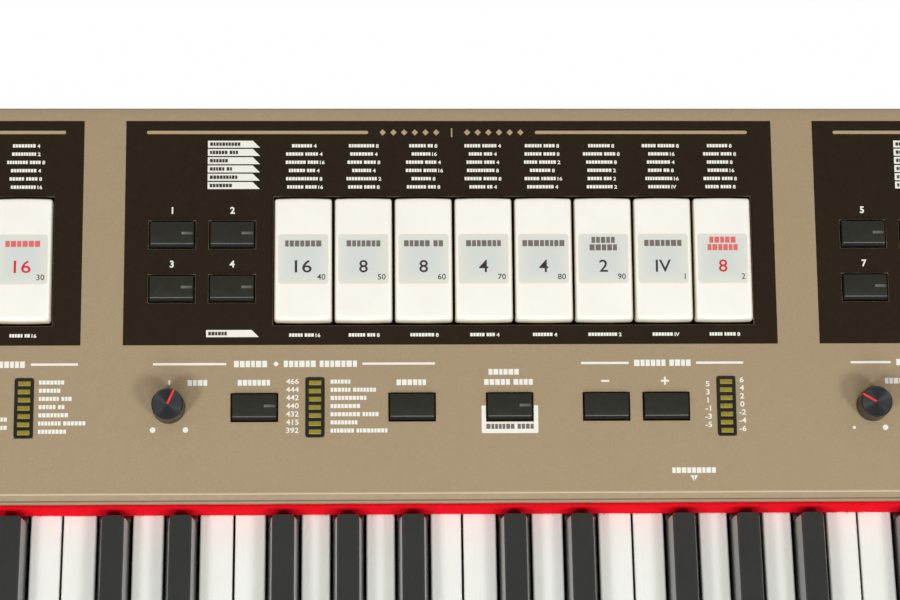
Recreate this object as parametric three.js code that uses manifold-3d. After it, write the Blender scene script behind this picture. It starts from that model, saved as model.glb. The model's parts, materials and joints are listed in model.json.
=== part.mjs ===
// A table-top electronic organ with one five-octave manual and rocker tablets.
// Millimetres. X runs to the player's right, Y away from the player, Z up.
// The origin is on the table, under the middle of the case.
import * as THREE from 'three';
import { mergeVertices } from 'three/addons/utils/BufferGeometryUtils.js';
import Module from 'manifold-3d';

const wasm = await Module();
wasm.setup();

// Clearances and round shapes
const fitGap = 0.3; // between fixed pieces that meet
const cutOverrun = 5; // how far a cutting body runs past the wall it cuts
const roundSides = 16;
const smallRoundSides = 10;
const cornerSteps = 3;

// Case
const footHeight = 8;
const footRadius = 15;
const footInset = 30;
const boardThickness = 12;
const endBlockThickness = 30;
const endBlockNose = 10; // radius of its front top corner
const cheekAboveKey = 10;
const cheekAbovePanel = 3;
const cheekSlopeRun = 14;
const slipThickness = 24.5;
const slipHeight = 50;
const slipEdge = 4;
const slipGap = 1.5; // between the key slip and the key fronts
const backThickness = 3;

// Keyboard
const octaveCount = 5;
const whitesPerOctave = 7;
const whitePitch = 23.5;
const whiteGap = 1;
const keyTopRise = 58; // white key tops above the bottom board
const whiteLength = 147; // what shows in front of the felt
const headLength = 50; // white key in front of the black keys
const keyThickness = 12;
const frontSkirtHeight = 20;
const frontSkirtThickness = 3;
const sharpNotch = 14.8; // the gap that the whites leave for a black key
const sharpBase = 12.8;
const sharpTop = 8.5;
const sharpRise = 9.5;
const sharpFrontSlope = 9;
const sharpRearSlope = 0.8;
const sharpFeltGap = 4.2;
const sharpNoseGap = 1.2;
const firstGroupSpread = 27.6; // between the two black keys of the first group
const secondGroupSpread = 26.6; // between the three of the second group
const keyboardSideGap = 1.5;
const keyTailLength = 58; // from the felt's face back to the pivot
const keyStripStart = 3; // behind the pivot
const keyStripWidth = 4;
const whiteStripHeight = 4.5;
const keyStripGap = 1.2;

// Key frame and contacts
const frameThickness = 3;
const frameFrontInset = 18;
const stopRailWidth = 6;
const stopRailSetback = 24;
const keyDipDegrees = 2.8;
const stopMargin = 1;
const contactRailWidth = 8;
const contactSetback = 55; // in front of the pivot
const contactBoardDepth = 36;
const circuitThickness = 1.6;
const domeWidth = 10;
const domeMargin = 0.6;
const pivotRailWidth = 8;
const pivotEdge = 4;
const pivotShoulder = 6;
const frameRearRun = 16;

// Sloping top panel
const panelSlopeDegrees = 8.84;
const panelLength = 163.1; // up the slope from the front bend
const panelThickness = 2;
const bendRise = 14; // front bend above the white key tops
const bendToFelt = 4.9; // from the front bend out to the felt's face
const lipRun = 3.9;
const lipDrop = 3;
const lipEdge = 1.5;
const feltThickness = 2.2;
const feltKeyGap = 0.5;
const flangeKeyGap = 1.5;
const rearFlange = 12;

// Tablets
const tabletPitch = 25;
const tabletWidth = 23.85;
const tabletLength = 52;
const tabletAbovePanel = 2.6;
const tabletBelowPanel = 3;
const tabletBevel = 0.8;
const tabletCorner = 1.6;
const tabletCornerSteps = 1;
const tabletSlack = 1.5; // at each end of its window
const tabletRowShare = 0.5947; // of the panel length, up to the middle of the tablets
const tabletRowSideGap = 0.95;
const axleRadius = 1.5;
const axleDepth = 5.5; // of the rocking axis below the panel face
const axleLength = 18;
const webThickness = 2;
const grooveSlack = 0.3;
const pivotBarWidth = 9;
const pivotBarTop = 4.2; // below the panel face
const lowerTabletsLeft = -171.45;
const pedalDivisionGap = 40.225; // from the pedal tablets to the voice buttons on their right
const upperDivisionGap = 38.425; // from the lower tablets to the voice buttons on their right

// Push buttons
const buttonWidth = 18.7;
const buttonLength = 11.2;
const buttonSlack = 0.45;
const buttonRise = 1.6;
const buttonFrontBevel = 1.4;
const buttonFlange = 1.2;
const buttonFlangeGap = 0.4;
const buttonStem = 4;
const buttonTravel = 1;
const switchWidth = 6;
const switchHeight = 3.5;
const voiceRowAbove = 11.1; // above and below the middle of the tablets
const voiceRowBelow = 11.8;
const voiceColumnNear = 29.6; // in front of the first tablet's middle
const voiceColumnPitch = 25;
const controlRowShare = 0.2158; // of the panel length, up to the middle of the row
const temperamentButtonX = -179.5;
const scaleButtonX = -114.6;
const enhancerButtonX = -74.3;
const minusButtonX = -34.3;
const plusButtonX = -9.5;

// Rotary knobs
const knobSkirtRadius = 7.3;
const knobTopRadius = 6.4;
const knobHeight = 10.7;
const knobEdge = 0.7;
const knobLift = 0.8;
const knobSkirtHeight = 1.8;
const knobSlotWidth = 1.1;
const knobSlotDepth = 0.4;
const knobShaftRadius = 3;
const knobShaftSlack = 0.5;
const potWidth = 14;
const potDepth = 4.3; // of its top below the panel face
const knobSides = 24;
const tuningKnobX = -214.5;
const tuningKnobTurn = -25; // where its pointer stands
const depthKnobX = 76.1;
const depthKnobTurn = 60;

// Light bars
const lightBarWidth = 8;
const lightBarLength = 25.2;
const lightCount = 7;
const lightPitch = 3.4;
const lightWidth = 5.2;
const lightLength = 2.2;
const lightRise = 0.4;
const organLightsX = -273.9;
const temperamentLightsX = -154.6;
const transposeLightsX = 15.5;

// Circuit boards under the panel
const panelBoardDepth = 12; // of its top below the panel face
const panelBoardLeftRun = 47.45; // past the outer tablets
const panelBoardRightRun = 20.3;
const panelBoardGap = 2;
const controlBoardFrontRun = 17.2; // in front of the middle of the row
const controlPostInset = 5;
const tabletBoardRearRun = 16.5; // behind the tablets' windows
const tabletPostInset = 8;
const standoffRadius = 3;
const standoffShares = [0.02, 0.22, 0.41, 0.6, 0.79, 0.98];
const tabletSwitchReach = 18;
const tabletSwitchHeight = 7.2;

// Main circuit board on the bottom board
const mainBoardWidth = 220;
const mainBoardSideGap = 94.5; // from the left end block
const mainBoardRise = 6;
const mainBoardFrontGap = 6.76;
const mainBoardRearGap = 24;
const mainPostInset = 8;
const chipHeight = 3;
const chipWidth = 20;
const chipPlaceShares = [[-0.3, 0], [0, 0.1], [0.28, -0.08]];

// Rear sockets
const socketRise = 42; // socket axis above the bottom board
const jackSides = 12;
const jackBore = 3.4;
const jackBushing = 5.5;
const jackNut = 7.5;
const jackBody = 17;
const jackBodyLength = 20;
const jackBoreLength = 16;
const jackPitch = 32;
const dinBore = 6.6; // of the ring slot that takes the plug's shell
const dinInsert = 5.6; // the contact insert inside that ring
const dinSlotLength = 9;
const dinInsertRecess = 0.4;
const dinInsertRoot = 1.5; // how far it reaches into the socket's body
const dinBushing = 8.6;
const dinRim = 10.2;
const powerBore = 3.3;
const nutThickness = 1.4;
const firstJackX = 130;
const jackCount = 3;

// Screw heads on the rear panel
const screwHeadRadius = 3.8;
const screwHeadHeight = 1.4;
const screwSides = 8;
const rearScrewDrop = 14;
const rearScrewInset = 8;
const rearScrewShares = [-0.47, -0.28, -0.09, 0.09, 0.28, 0.47];

// Sizes worked out from those above
const degree = Math.PI / 180;
const slope = panelSlopeDegrees * degree;
const panelRun = panelLength * Math.cos(slope);
const panelRise = panelLength * Math.sin(slope);
const caseDepth = slipThickness + slipGap + whiteLength + bendToFelt + panelRun;
const frontY = -caseDepth / 2;
const rearY = caseDepth / 2;
const keyFrontY = frontY + slipThickness + slipGap;
const feltY = keyFrontY + whiteLength;
const bendY = feltY + bendToFelt;
const whiteCount = octaveCount * whitesPerOctave + 1;
const keyboardHalf = whiteCount * whitePitch / 2;
const innerHalf = keyboardHalf + keyboardSideGap;
const caseHalf = innerHalf + endBlockThickness;
const fittedHalf = innerHalf - fitGap;
const boardTop = footHeight + boardThickness;
const keyTop = boardTop + keyTopRise;
const keyUnder = keyTop - keyThickness;
const bendZ = keyTop + bendRise;
const pivotY = feltY + keyTailLength;
const backOuterY = rearY - panelThickness - fitGap;
const backInnerY = backOuterY - backThickness;
const controlRow = controlRowShare * panelLength;
const tabletRow = tabletRowShare * panelLength;
const windowHalf = tabletLength / 2 + tabletSlack;
const voiceBlockRun = voiceColumnNear + voiceColumnPitch + (buttonWidth - tabletWidth) / 2;

// Finishes
const tanPaint = new THREE.MeshStandardMaterial({ color: 0xac9778, roughness: 0.5, metalness: 0.3 });
const darkPaint = new THREE.MeshStandardMaterial({ color: 0x2b2723, roughness: 0.5, metalness: 0 });
const boardFinish = new THREE.MeshStandardMaterial({ color: 0x3a342e, roughness: 0.8, metalness: 0 });
const whiteKeyFinish = new THREE.MeshStandardMaterial({ color: 0xeeefe7, roughness: 0.25, metalness: 0 });
const blackKeyFinish = new THREE.MeshStandardMaterial({ color: 0x202020, roughness: 0.35, metalness: 0 });
const tabletFinish = new THREE.MeshStandardMaterial({ color: 0xf8f5ec, roughness: 0.3, metalness: 0 });
const buttonFinish = new THREE.MeshStandardMaterial({ color: 0x262622, roughness: 0.45, metalness: 0 });
const knobFinish = new THREE.MeshStandardMaterial({ color: 0x2c2a28, roughness: 0.35, metalness: 0.2 });
const feltFinish = new THREE.MeshStandardMaterial({ color: 0xd9202c, roughness: 0.95, metalness: 0 });
const steelFinish = new THREE.MeshStandardMaterial({ color: 0xa8adb2, roughness: 0.4, metalness: 0.9 });
const circuitFinish = new THREE.MeshStandardMaterial({ color: 0x1f5a34, roughness: 0.5, metalness: 0 });
const socketFinish = new THREE.MeshStandardMaterial({ color: 0x1a1a1a, roughness: 0.5, metalness: 0 });
const rubberFinish = new THREE.MeshStandardMaterial({ color: 0x181818, roughness: 0.9, metalness: 0 });

// Basic bodies
// A block whose top rectangle may differ from its bottom one
function taperedBlock(bottom, top, z0, z1) {
  const body = new THREE.BoxGeometry(1, 1, 1);
  const corners = body.getAttribute('position');
  for (let i = 0; i < corners.count; i += 1) {
    const rectangle = corners.getZ(i) > 0 ? top : bottom;
    const x = corners.getX(i) > 0 ? rectangle.x1 : rectangle.x0;
    const y = corners.getY(i) > 0 ? rectangle.y1 : rectangle.y0;
    corners.setXYZ(i, x, y, corners.getZ(i) > 0 ? z1 : z0);
  }
  return body;
}

function block(x0, x1, y0, y1, z0, z1) {
  const rectangle = { x0, x1, y0, y1 };
  return taperedBlock(rectangle, rectangle, z0, z1);
}

// An outline carried from one height to another, with both ends exactly there
function extruded(shape, start, end) {
  const options = { depth: 1, bevelEnabled: false, curveSegments: cornerSteps };
  const body = new THREE.ExtrudeGeometry(shape, options);
  const corners = body.getAttribute('position');
  for (let i = 0; i < corners.count; i += 1) {
    corners.setZ(i, corners.getZ(i) > 0 ? end : start);
  }
  return body;
}

// A side outline in Y and Z, carried along X
function barAlongX(shape, x0, x1) {
  const body = extruded(shape, x0, x1);
  const toXYZ = new THREE.Matrix4().makeBasis(
    new THREE.Vector3(0, 1, 0),
    new THREE.Vector3(0, 0, 1),
    new THREE.Vector3(1, 0, 0),
  );
  body.applyMatrix4(toXYZ);
  return body;
}

function outline(points) {
  return new THREE.Shape(points.map(([x, y]) => new THREE.Vector2(x, y)));
}

function roundedRectangle(halfWidth, halfLength, radius) {
  const shape = new THREE.Shape();
  const x = halfWidth - radius;
  const y = halfLength - radius;
  shape.absarc(x, -y, radius, -Math.PI / 2, 0);
  shape.absarc(x, y, radius, 0, Math.PI / 2);
  shape.absarc(-x, y, radius, Math.PI / 2, Math.PI);
  shape.absarc(-x, -y, radius, Math.PI, Math.PI * 3 / 2);
  return shape;
}

function rodAlongZ(radius, z0, z1, sides) {
  const body = new THREE.CylinderGeometry(radius, radius, z1 - z0, sides);
  body.rotateX(Math.PI / 2);
  body.translate(0, 0, (z0 + z1) / 2);
  return body;
}

function rodAlongY(radius, y0, y1, sides) {
  const body = new THREE.CylinderGeometry(radius, radius, y1 - y0, sides);
  body.translate(0, (y0 + y1) / 2, 0);
  return body;
}

function rodAlongX(radius, x0, x1, sides) {
  const body = new THREE.CylinderGeometry(radius, radius, x1 - x0, sides);
  body.rotateZ(Math.PI / 2);
  body.translate((x0 + x1) / 2, 0, 0);
  return body;
}

function turned(points, sides) {
  const body = new THREE.LatheGeometry(points.map(([r, z]) => new THREE.Vector2(r, z)), sides);
  body.rotateX(Math.PI / 2);
  return body;
}

function at(body, x, y, z) {
  body.translate(x, y, z);
  return body;
}

// Joins and cuts
function solid(geometry) {
  const bare = geometry.index ? geometry.toNonIndexed() : geometry.clone();
  bare.deleteAttribute('normal');
  bare.deleteAttribute('uv');
  const merged = mergeVertices(bare);
  const mesh = new wasm.Mesh({
    numProp: 3,
    vertProperties: new Float32Array(merged.getAttribute('position').array),
    triVerts: new Uint32Array(merged.index.array),
  });
  return new wasm.Manifold(mesh);
}

function geometryOf(body) {
  const mesh = body.getMesh();
  const geometry = new THREE.BufferGeometry();
  geometry.setAttribute('position', new THREE.BufferAttribute(new Float32Array(mesh.vertProperties), 3));
  geometry.setIndex(new THREE.BufferAttribute(new Uint32Array(mesh.triVerts), 1));
  geometry.computeVertexNormals();
  return geometry;
}

function joined(pieces) {
  return geometryOf(pieces.map(solid).reduce((whole, next) => whole.add(next)));
}

function cut(geometry, cutters) {
  return geometryOf(cutters.map(solid).reduce((whole, next) => whole.subtract(next), solid(geometry)));
}

// Scene graph: the case stands level, the deck group is tilted with the top panel
const organ = new THREE.Group();
const deck = new THREE.Group();
deck.position.set(0, bendY, bendZ);
deck.rotation.x = slope;
organ.add(deck);

function place(parent, name, geometry, material) {
  const mesh = new THREE.Mesh(geometry, material);
  mesh.name = name;
  parent.add(mesh);
  return mesh;
}

// Where a panel control stands, for the holes and for the pieces
const pedalNumbers = [10, 20, 30];
const lowerNumbers = [40, 50, 60, 70, 80, 90, 1, 2];
const upperNumbers = [3, 4, 5, 6, 7, 8, 9];

function spanOf(numbers) {
  return (numbers.length - 1) * tabletPitch + tabletWidth;
}

const lowerTabletsRight = lowerTabletsLeft + spanOf(lowerNumbers);
const upperTabletsLeft = lowerTabletsRight + upperDivisionGap + voiceBlockRun;
const pedalTabletsRight = lowerTabletsLeft - voiceBlockRun - pedalDivisionGap;
const tabletSets = [
  { left: pedalTabletsRight - spanOf(pedalNumbers), numbers: pedalNumbers },
  { left: lowerTabletsLeft, numbers: lowerNumbers },
  { left: upperTabletsLeft, numbers: upperNumbers },
];

function firstTabletX(set) {
  return set.left + tabletWidth / 2;
}

function voiceButtons(set, firstNumber) {
  const nearX = firstTabletX(set) - voiceColumnNear;
  const farX = nearX - voiceColumnPitch;
  const upperY = tabletRow + voiceRowAbove;
  const lowerY = tabletRow - voiceRowBelow;
  return [
    { name: `voice_button_${firstNumber}`, x: farX, y: upperY },
    { name: `voice_button_${firstNumber + 1}`, x: nearX, y: upperY },
    { name: `voice_button_${firstNumber + 2}`, x: farX, y: lowerY },
    { name: `voice_button_${firstNumber + 3}`, x: nearX, y: lowerY },
  ];
}

const buttons = [
  ...voiceButtons(tabletSets[1], 1),
  ...voiceButtons(tabletSets[2], 5),
  { name: 'temperament_button', x: temperamentButtonX, y: controlRow },
  { name: 'scale_button', x: scaleButtonX, y: controlRow },
  { name: 'enhancer_button', x: enhancerButtonX, y: controlRow },
  { name: 'transpose_down_button', x: minusButtonX, y: controlRow },
  { name: 'transpose_up_button', x: plusButtonX, y: controlRow },
];

const knobs = [
  { name: 'tuning_knob', x: tuningKnobX, turn: tuningKnobTurn },
  { name: 'depth_knob', x: depthKnobX, turn: depthKnobTurn },
];

const lightBarPlaces = [organLightsX, temperamentLightsX, transposeLightsX];

// Bottom board, feet and end blocks
const footPlaces = [
  { name: 'foot_front_left', x: -caseHalf + footInset, y: frontY + footInset },
  { name: 'foot_front_right', x: caseHalf - footInset, y: frontY + footInset },
  { name: 'foot_rear_left', x: -caseHalf + footInset, y: rearY - footInset },
  { name: 'foot_rear_right', x: caseHalf - footInset, y: rearY - footInset },
];

place(organ, 'bottom_board', block(-caseHalf, caseHalf, frontY, rearY, footHeight, boardTop), boardFinish);

for (const { name, x, y } of footPlaces) {
  place(organ, name, at(rodAlongZ(footRadius, 0, footHeight, roundSides), x, y, 0), rubberFinish);
}

function endBlockShape() {
  const cheekZ = keyTop + cheekAboveKey;
  const shape = new THREE.Shape();
  shape.moveTo(rearY, boardTop);
  shape.lineTo(rearY, bendZ + panelRise + cheekAbovePanel);
  shape.lineTo(bendY, bendZ + cheekAbovePanel);
  shape.lineTo(bendY - cheekSlopeRun, cheekZ);
  shape.lineTo(frontY + endBlockNose, cheekZ);
  shape.absarc(frontY + endBlockNose, cheekZ - endBlockNose, endBlockNose, Math.PI / 2, Math.PI);
  shape.lineTo(frontY, boardTop);
  return shape;
}
place(organ, 'left_end_block', barAlongX(endBlockShape(), -caseHalf, -innerHalf), darkPaint);
place(organ, 'right_end_block', barAlongX(endBlockShape(), innerHalf, caseHalf), darkPaint);

function keySlipShape() {
  const rear = frontY + slipThickness;
  const top = boardTop + slipHeight;
  const shape = new THREE.Shape();
  shape.moveTo(frontY, boardTop);
  shape.lineTo(rear, boardTop);
  shape.absarc(rear - slipEdge, top - slipEdge, slipEdge, 0, Math.PI / 2);
  shape.absarc(frontY + slipEdge, top - slipEdge, slipEdge, Math.PI / 2, Math.PI);
  return shape;
}
place(organ, 'key_slip', barAlongX(keySlipShape(), -fittedHalf, fittedHalf), darkPaint);

// Rear panel with its sockets
const socketZ = boardTop + socketRise;
const socketPlaces = [];
for (let i = 0; i < jackCount; i += 1) {
  const x = firstJackX + i * jackPitch;
  socketPlaces.push({ x, bore: jackBore, length: jackBoreLength, bushing: jackBushing, rim: jackNut });
}
const dinX = firstJackX + jackCount * jackPitch;
socketPlaces.push({ x: dinX, bore: dinBore, length: dinSlotLength, bushing: dinBushing, rim: dinRim });
const powerX = dinX + jackPitch;
socketPlaces.push({
  x: powerX,
  bore: powerBore,
  length: jackBoreLength,
  bushing: jackBushing,
  rim: jackNut,
});

const socketHoles = socketPlaces.map(({ x, bushing }) => (
  at(rodAlongY(bushing + fitGap, backInnerY - cutOverrun, rearY, jackSides), x, 0, socketZ)
));
const rearPanelTop = bendZ + panelRise - rearFlange / 2;
const rearPanelBody = block(-fittedHalf, fittedHalf, backInnerY, backOuterY, boardTop, rearPanelTop);
const screwRows = [boardTop + rearScrewInset, rearPanelTop - rearScrewDrop];
const screwHeads = screwRows.flatMap((z) => rearScrewShares.map((share) => at(
  rodAlongY(screwHeadRadius, backInnerY, backOuterY + screwHeadHeight, screwSides),
  share * 2 * innerHalf,
  0,
  z,
)));
place(organ, 'rear_panel', joined([cut(rearPanelBody, socketHoles), ...screwHeads]), darkPaint);

const socketFaceY = backOuterY + fitGap + nutThickness;
const socketBodyY = backInnerY - fitGap;

function socket({ x, bushing, rim }) {
  const half = Math.max(jackBody / 2, bushing);
  const pieces = [
    block(-half, half, socketBodyY - jackBodyLength, socketBodyY, -half, half),
    rodAlongY(bushing, socketBodyY - jackBodyLength / 2, socketFaceY, jackSides),
    rodAlongY(rim, backOuterY + fitGap, socketFaceY, jackSides),
  ];
  return at(joined(pieces), x, 0, socketZ);
}

const socketBores = socketPlaces.map(({ x, bore, length }) => (
  at(rodAlongY(bore, socketFaceY - length, socketFaceY + cutOverrun, jackSides), x, 0, socketZ)
));
const insertRear = socketFaceY - dinSlotLength - dinInsertRoot;
const insertFace = socketFaceY - dinInsertRecess;
const contactInsert = at(rodAlongY(dinInsert, insertRear, insertFace, jackSides), dinX, 0, socketZ);
const socketBoardY = socketBodyY - jackBodyLength;
const socketBoard = block(
  firstJackX - jackPitch / 2,
  powerX + jackPitch / 2,
  socketBoardY - circuitThickness,
  socketBoardY,
  boardTop + fitGap,
  socketZ + jackBody,
);
const socketBodies = joined([socketBoard, ...socketPlaces.map(socket)]);
place(organ, 'socket_board', joined([cut(socketBodies, socketBores), contactInsert]), socketFinish);

// Key frame: plate, stop rail, contact rail and pivot rail in one section
const stopRailY = keyFrontY + stopRailSetback;
const dip = Math.tan(keyDipDegrees * degree);
const stopTop = keyUnder - (pivotY - stopRailY) * dip - stopMargin;
const contactY = pivotY - contactSetback;
const contactHalf = contactRailWidth / 2;
const domeTop = keyUnder - (contactSetback + domeWidth / 2) * dip - domeMargin;
const contactBoardZ = domeTop - domeWidth / 2 - circuitThickness;
const contactRailTop = contactBoardZ - fitGap;
const frameTop = boardTop + frameThickness;
const pivotTop = keyUnder - fitGap;

const frameShape = outline([
  [keyFrontY + frameFrontInset, boardTop],
  [pivotY + frameRearRun, boardTop],
  [pivotY + frameRearRun, frameTop],
  [pivotY + pivotRailWidth / 2, frameTop],
  [pivotY + pivotRailWidth / 2, pivotTop - pivotShoulder],
  [pivotY + pivotEdge / 2, pivotTop],
  [pivotY - pivotEdge / 2, pivotTop],
  [pivotY - pivotRailWidth / 2, pivotTop - pivotShoulder],
  [pivotY - pivotRailWidth / 2, frameTop],
  [contactY + contactHalf, frameTop],
  [contactY + contactHalf, contactRailTop],
  [contactY - contactHalf, contactRailTop],
  [contactY - contactHalf, frameTop],
  [stopRailY + stopRailWidth, frameTop],
  [stopRailY + stopRailWidth, stopTop],
  [stopRailY, stopTop],
  [stopRailY, frameTop],
  [keyFrontY + frameFrontInset, frameTop],
]);
place(organ, 'key_frame', barAlongX(frameShape, -keyboardHalf, keyboardHalf), steelFinish);

const contactTop = contactBoardZ + circuitThickness;

function contactStrip(depth, bottom, top) {
  return block(-keyboardHalf, keyboardHalf, contactY - depth / 2, contactY + depth / 2, bottom, top);
}
place(organ, 'contact_board', joined([
  contactStrip(contactBoardDepth, contactBoardZ, contactTop),
  contactStrip(domeWidth, contactTop, domeTop),
]), circuitFinish);

// Keys, moulded an octave at a time: the white ones share a strip behind the pivot,
// and the black ones reach over it to a strip of their own
const noteWhites = { c: 0, d: 1, e: 2, f: 3, g: 4, a: 5, b: 6 };
const firstGroupMiddle = (noteWhites.d + 0.5) * whitePitch;
const secondGroupMiddle = noteWhites.a * whitePitch;
const sharpOffsets = {
  c_sharp: firstGroupMiddle - firstGroupSpread / 2,
  d_sharp: firstGroupMiddle + firstGroupSpread / 2,
  f_sharp: secondGroupMiddle - secondGroupSpread,
  g_sharp: secondGroupMiddle,
  a_sharp: secondGroupMiddle + secondGroupSpread,
};
const octaveWidth = whitesPerOctave * whitePitch;
const whiteStripY = pivotY + keyStripStart;
const whiteTailY = whiteStripY + keyStripWidth;
const blackStripY = whiteTailY + keyStripGap;
const blackTailY = blackStripY + keyStripWidth;
const headEndY = keyFrontY + headLength;

function leftNotch(note) {
  const beside = { d: 'c_sharp', e: 'd_sharp', g: 'f_sharp', a: 'g_sharp', b: 'a_sharp' }[note];
  return beside ? sharpOffsets[beside] + sharpNotch / 2 : null;
}

function rightNotch(note) {
  const beside = { c: 'c_sharp', d: 'd_sharp', f: 'f_sharp', g: 'g_sharp', a: 'a_sharp' }[note];
  return beside ? sharpOffsets[beside] - sharpNotch / 2 : null;
}

function whiteKey(note, octave) {
  const start = -keyboardHalf + octave * octaveWidth;
  const isLast = octave === octaveCount;
  const left = start + noteWhites[note] * whitePitch + whiteGap / 2;
  const right = left + whitePitch - whiteGap;
  const notchLeft = leftNotch(note);
  const notchRight = isLast ? null : rightNotch(note);
  const tailLeft = notchLeft === null ? left : start + notchLeft;
  const tailRight = notchRight === null ? right : start + notchRight;
  const points = [[left, keyFrontY], [right, keyFrontY]];
  if (notchRight !== null) points.push([right, headEndY]);
  if (notchRight !== null) points.push([tailRight, headEndY]);
  points.push([tailRight, whiteTailY], [tailLeft, whiteTailY]);
  if (notchLeft !== null) points.push([tailLeft, headEndY], [left, headEndY]);
  const skirtRear = keyFrontY + frontSkirtThickness;
  return joined([
    extruded(outline(points), keyUnder, keyTop),
    block(left, right, keyFrontY, skirtRear, keyTop - frontSkirtHeight, keyUnder),
  ]);
}

function blackKey(note, octave) {
  const middle = -keyboardHalf + octave * octaveWidth + sharpOffsets[note];
  const half = sharpBase / 2;
  const front = headEndY + sharpNoseGap;
  const rear = feltY - sharpFeltGap;
  const foot = { x0: middle - half, x1: middle + half, y0: front, y1: rear };
  const crown = {
    x0: middle - sharpTop / 2,
    x1: middle + sharpTop / 2,
    y0: front + sharpFrontSlope,
    y1: rear - sharpRearSlope,
  };
  const side = outline([
    [front, keyUnder],
    [whiteStripY - keyStripGap, keyUnder],
    [whiteStripY - keyStripGap, keyUnder + whiteStripHeight + keyStripGap],
    [blackTailY, keyUnder + whiteStripHeight + keyStripGap],
    [blackTailY, keyTop],
    [front, keyTop],
  ]);
  return joined([
    barAlongX(side, foot.x0, foot.x1),
    taperedBlock(foot, crown, keyTop, keyTop + sharpRise),
  ]);
}

function whiteOctave(octave) {
  const start = -keyboardHalf + octave * octaveWidth;
  const isLast = octave === octaveCount - 1;
  const stripEnd = isLast ? keyboardHalf : start + octaveWidth;
  const keys = Object.keys(noteWhites).map((note) => whiteKey(note, octave));
  if (isLast) keys.push(whiteKey('c', octaveCount));
  const strip = block(
    start + whiteGap / 2,
    stripEnd - whiteGap / 2,
    whiteStripY,
    whiteTailY,
    keyUnder,
    keyUnder + whiteStripHeight,
  );
  return joined([...keys, strip]);
}

function blackOctave(octave) {
  const start = -keyboardHalf + octave * octaveWidth;
  const keys = Object.keys(sharpOffsets).map((note) => blackKey(note, octave));
  const strip = block(
    start + sharpOffsets.c_sharp,
    start + sharpOffsets.a_sharp,
    blackStripY,
    blackTailY,
    keyUnder,
    keyTop,
  );
  return joined([...keys, strip]);
}

for (let octave = 0; octave < octaveCount; octave += 1) {
  place(organ, `white_keys_${octave + 1}`, whiteOctave(octave), whiteKeyFinish);
  place(organ, `black_keys_${octave + 1}`, blackOctave(octave), blackKeyFinish);
}

// Felt strip behind the keys, under the panel's lip
const feltTop = bendZ - lipDrop - lipEdge - fitGap;
const feltBody = block(-fittedHalf, fittedHalf, feltY, feltY + feltThickness, keyTop + feltKeyGap, feltTop);
place(organ, 'key_felt', feltBody, feltFinish);

// Top panel: a bent sheet with openings for every control
function onDeck(y, z) {
  const alongY = y - bendY;
  const upZ = z - bendZ;
  return [
    alongY * Math.cos(slope) + upZ * Math.sin(slope),
    -alongY * Math.sin(slope) + upZ * Math.cos(slope),
  ];
}

function undersideAt(y) {
  return bendZ + (y - bendY) * Math.tan(slope) - panelThickness / Math.cos(slope);
}

const flangeFrontY = feltY + feltThickness + fitGap;
const flangeRearY = flangeFrontY + panelThickness;
const lipFrontY = bendY - lipRun;
const lipUnder = bendZ - lipDrop - lipEdge;
const rearInnerY = rearY - panelThickness;
const sheetOutline = [
  [bendY, bendZ],
  [lipFrontY, bendZ - lipDrop],
  [lipFrontY, lipUnder],
  [flangeFrontY, lipUnder],
  [flangeFrontY, keyTop + flangeKeyGap],
  [flangeRearY, keyTop + flangeKeyGap],
  [flangeRearY, undersideAt(flangeRearY)],
  [rearInnerY, undersideAt(rearInnerY)],
  [rearInnerY, bendZ + panelRise - rearFlange],
  [rearY, bendZ + panelRise - rearFlange],
  [rearY, bendZ + panelRise],
].map(([y, z]) => onDeck(y, z));

function through(x0, x1, y0, y1) {
  return block(x0, x1, y0, y1, -panelThickness - cutOverrun, cutOverrun);
}

const tabletWindows = tabletSets.map((set) => through(
  set.left - tabletRowSideGap,
  set.left + spanOf(set.numbers) + tabletRowSideGap,
  tabletRow - windowHalf,
  tabletRow + windowHalf,
));
const buttonHoleHalfX = buttonWidth / 2 + buttonSlack;
const buttonHoleHalfY = buttonLength / 2 + buttonSlack;
const buttonHoles = buttons.map(({ x, y }) => through(
  x - buttonHoleHalfX,
  x + buttonHoleHalfX,
  y - buttonHoleHalfY,
  y + buttonHoleHalfY,
));
const lightHoleHalfX = lightBarWidth / 2 + fitGap;
const lightHoleHalfY = lightBarLength / 2 + fitGap;
const lightHoles = lightBarPlaces.map((x) => through(
  x - lightHoleHalfX,
  x + lightHoleHalfX,
  controlRow - lightHoleHalfY,
  controlRow + lightHoleHalfY,
));
const shaftHole = knobShaftRadius + knobShaftSlack;
const knobHoles = knobs.map(({ x }) => (
  at(rodAlongZ(shaftHole, -panelThickness - cutOverrun, cutOverrun, roundSides), x, controlRow, 0)
));
const panelSheet = barAlongX(outline(sheetOutline), -fittedHalf, fittedHalf);
const panelCuts = [...tabletWindows, ...buttonHoles, ...lightHoles, ...knobHoles];
place(deck, 'top_panel', cut(panelSheet, panelCuts), tanPaint);

// Rocker tablets, each on its own axle
function tablet() {
  const shape = roundedRectangle(tabletWidth / 2 - tabletBevel, tabletLength / 2 - tabletBevel, tabletCorner);
  const cap = new THREE.ExtrudeGeometry(shape, {
    depth: tabletAbovePanel + tabletBelowPanel - 2 * tabletBevel,
    bevelThickness: tabletBevel,
    bevelSize: tabletBevel,
    bevelSegments: 1,
    curveSegments: tabletCornerSteps,
  });
  cap.translate(0, 0, tabletBevel - tabletBelowPanel);
  const webHalf = webThickness / 2;
  const web = block(-axleLength / 2, axleLength / 2, -webHalf, webHalf, -axleDepth, 0);
  const axle = at(rodAlongX(axleRadius, -axleLength / 2, axleLength / 2, smallRoundSides), 0, 0, -axleDepth);
  return joined([cap, web, axle]);
}

for (const set of tabletSets) {
  set.numbers.forEach((number, index) => {
    const piece = place(deck, `tablet_${number}`, tablet(), tabletFinish);
    piece.position.set(firstTabletX(set) + index * tabletPitch, tabletRow, 0);
  });
}

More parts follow.
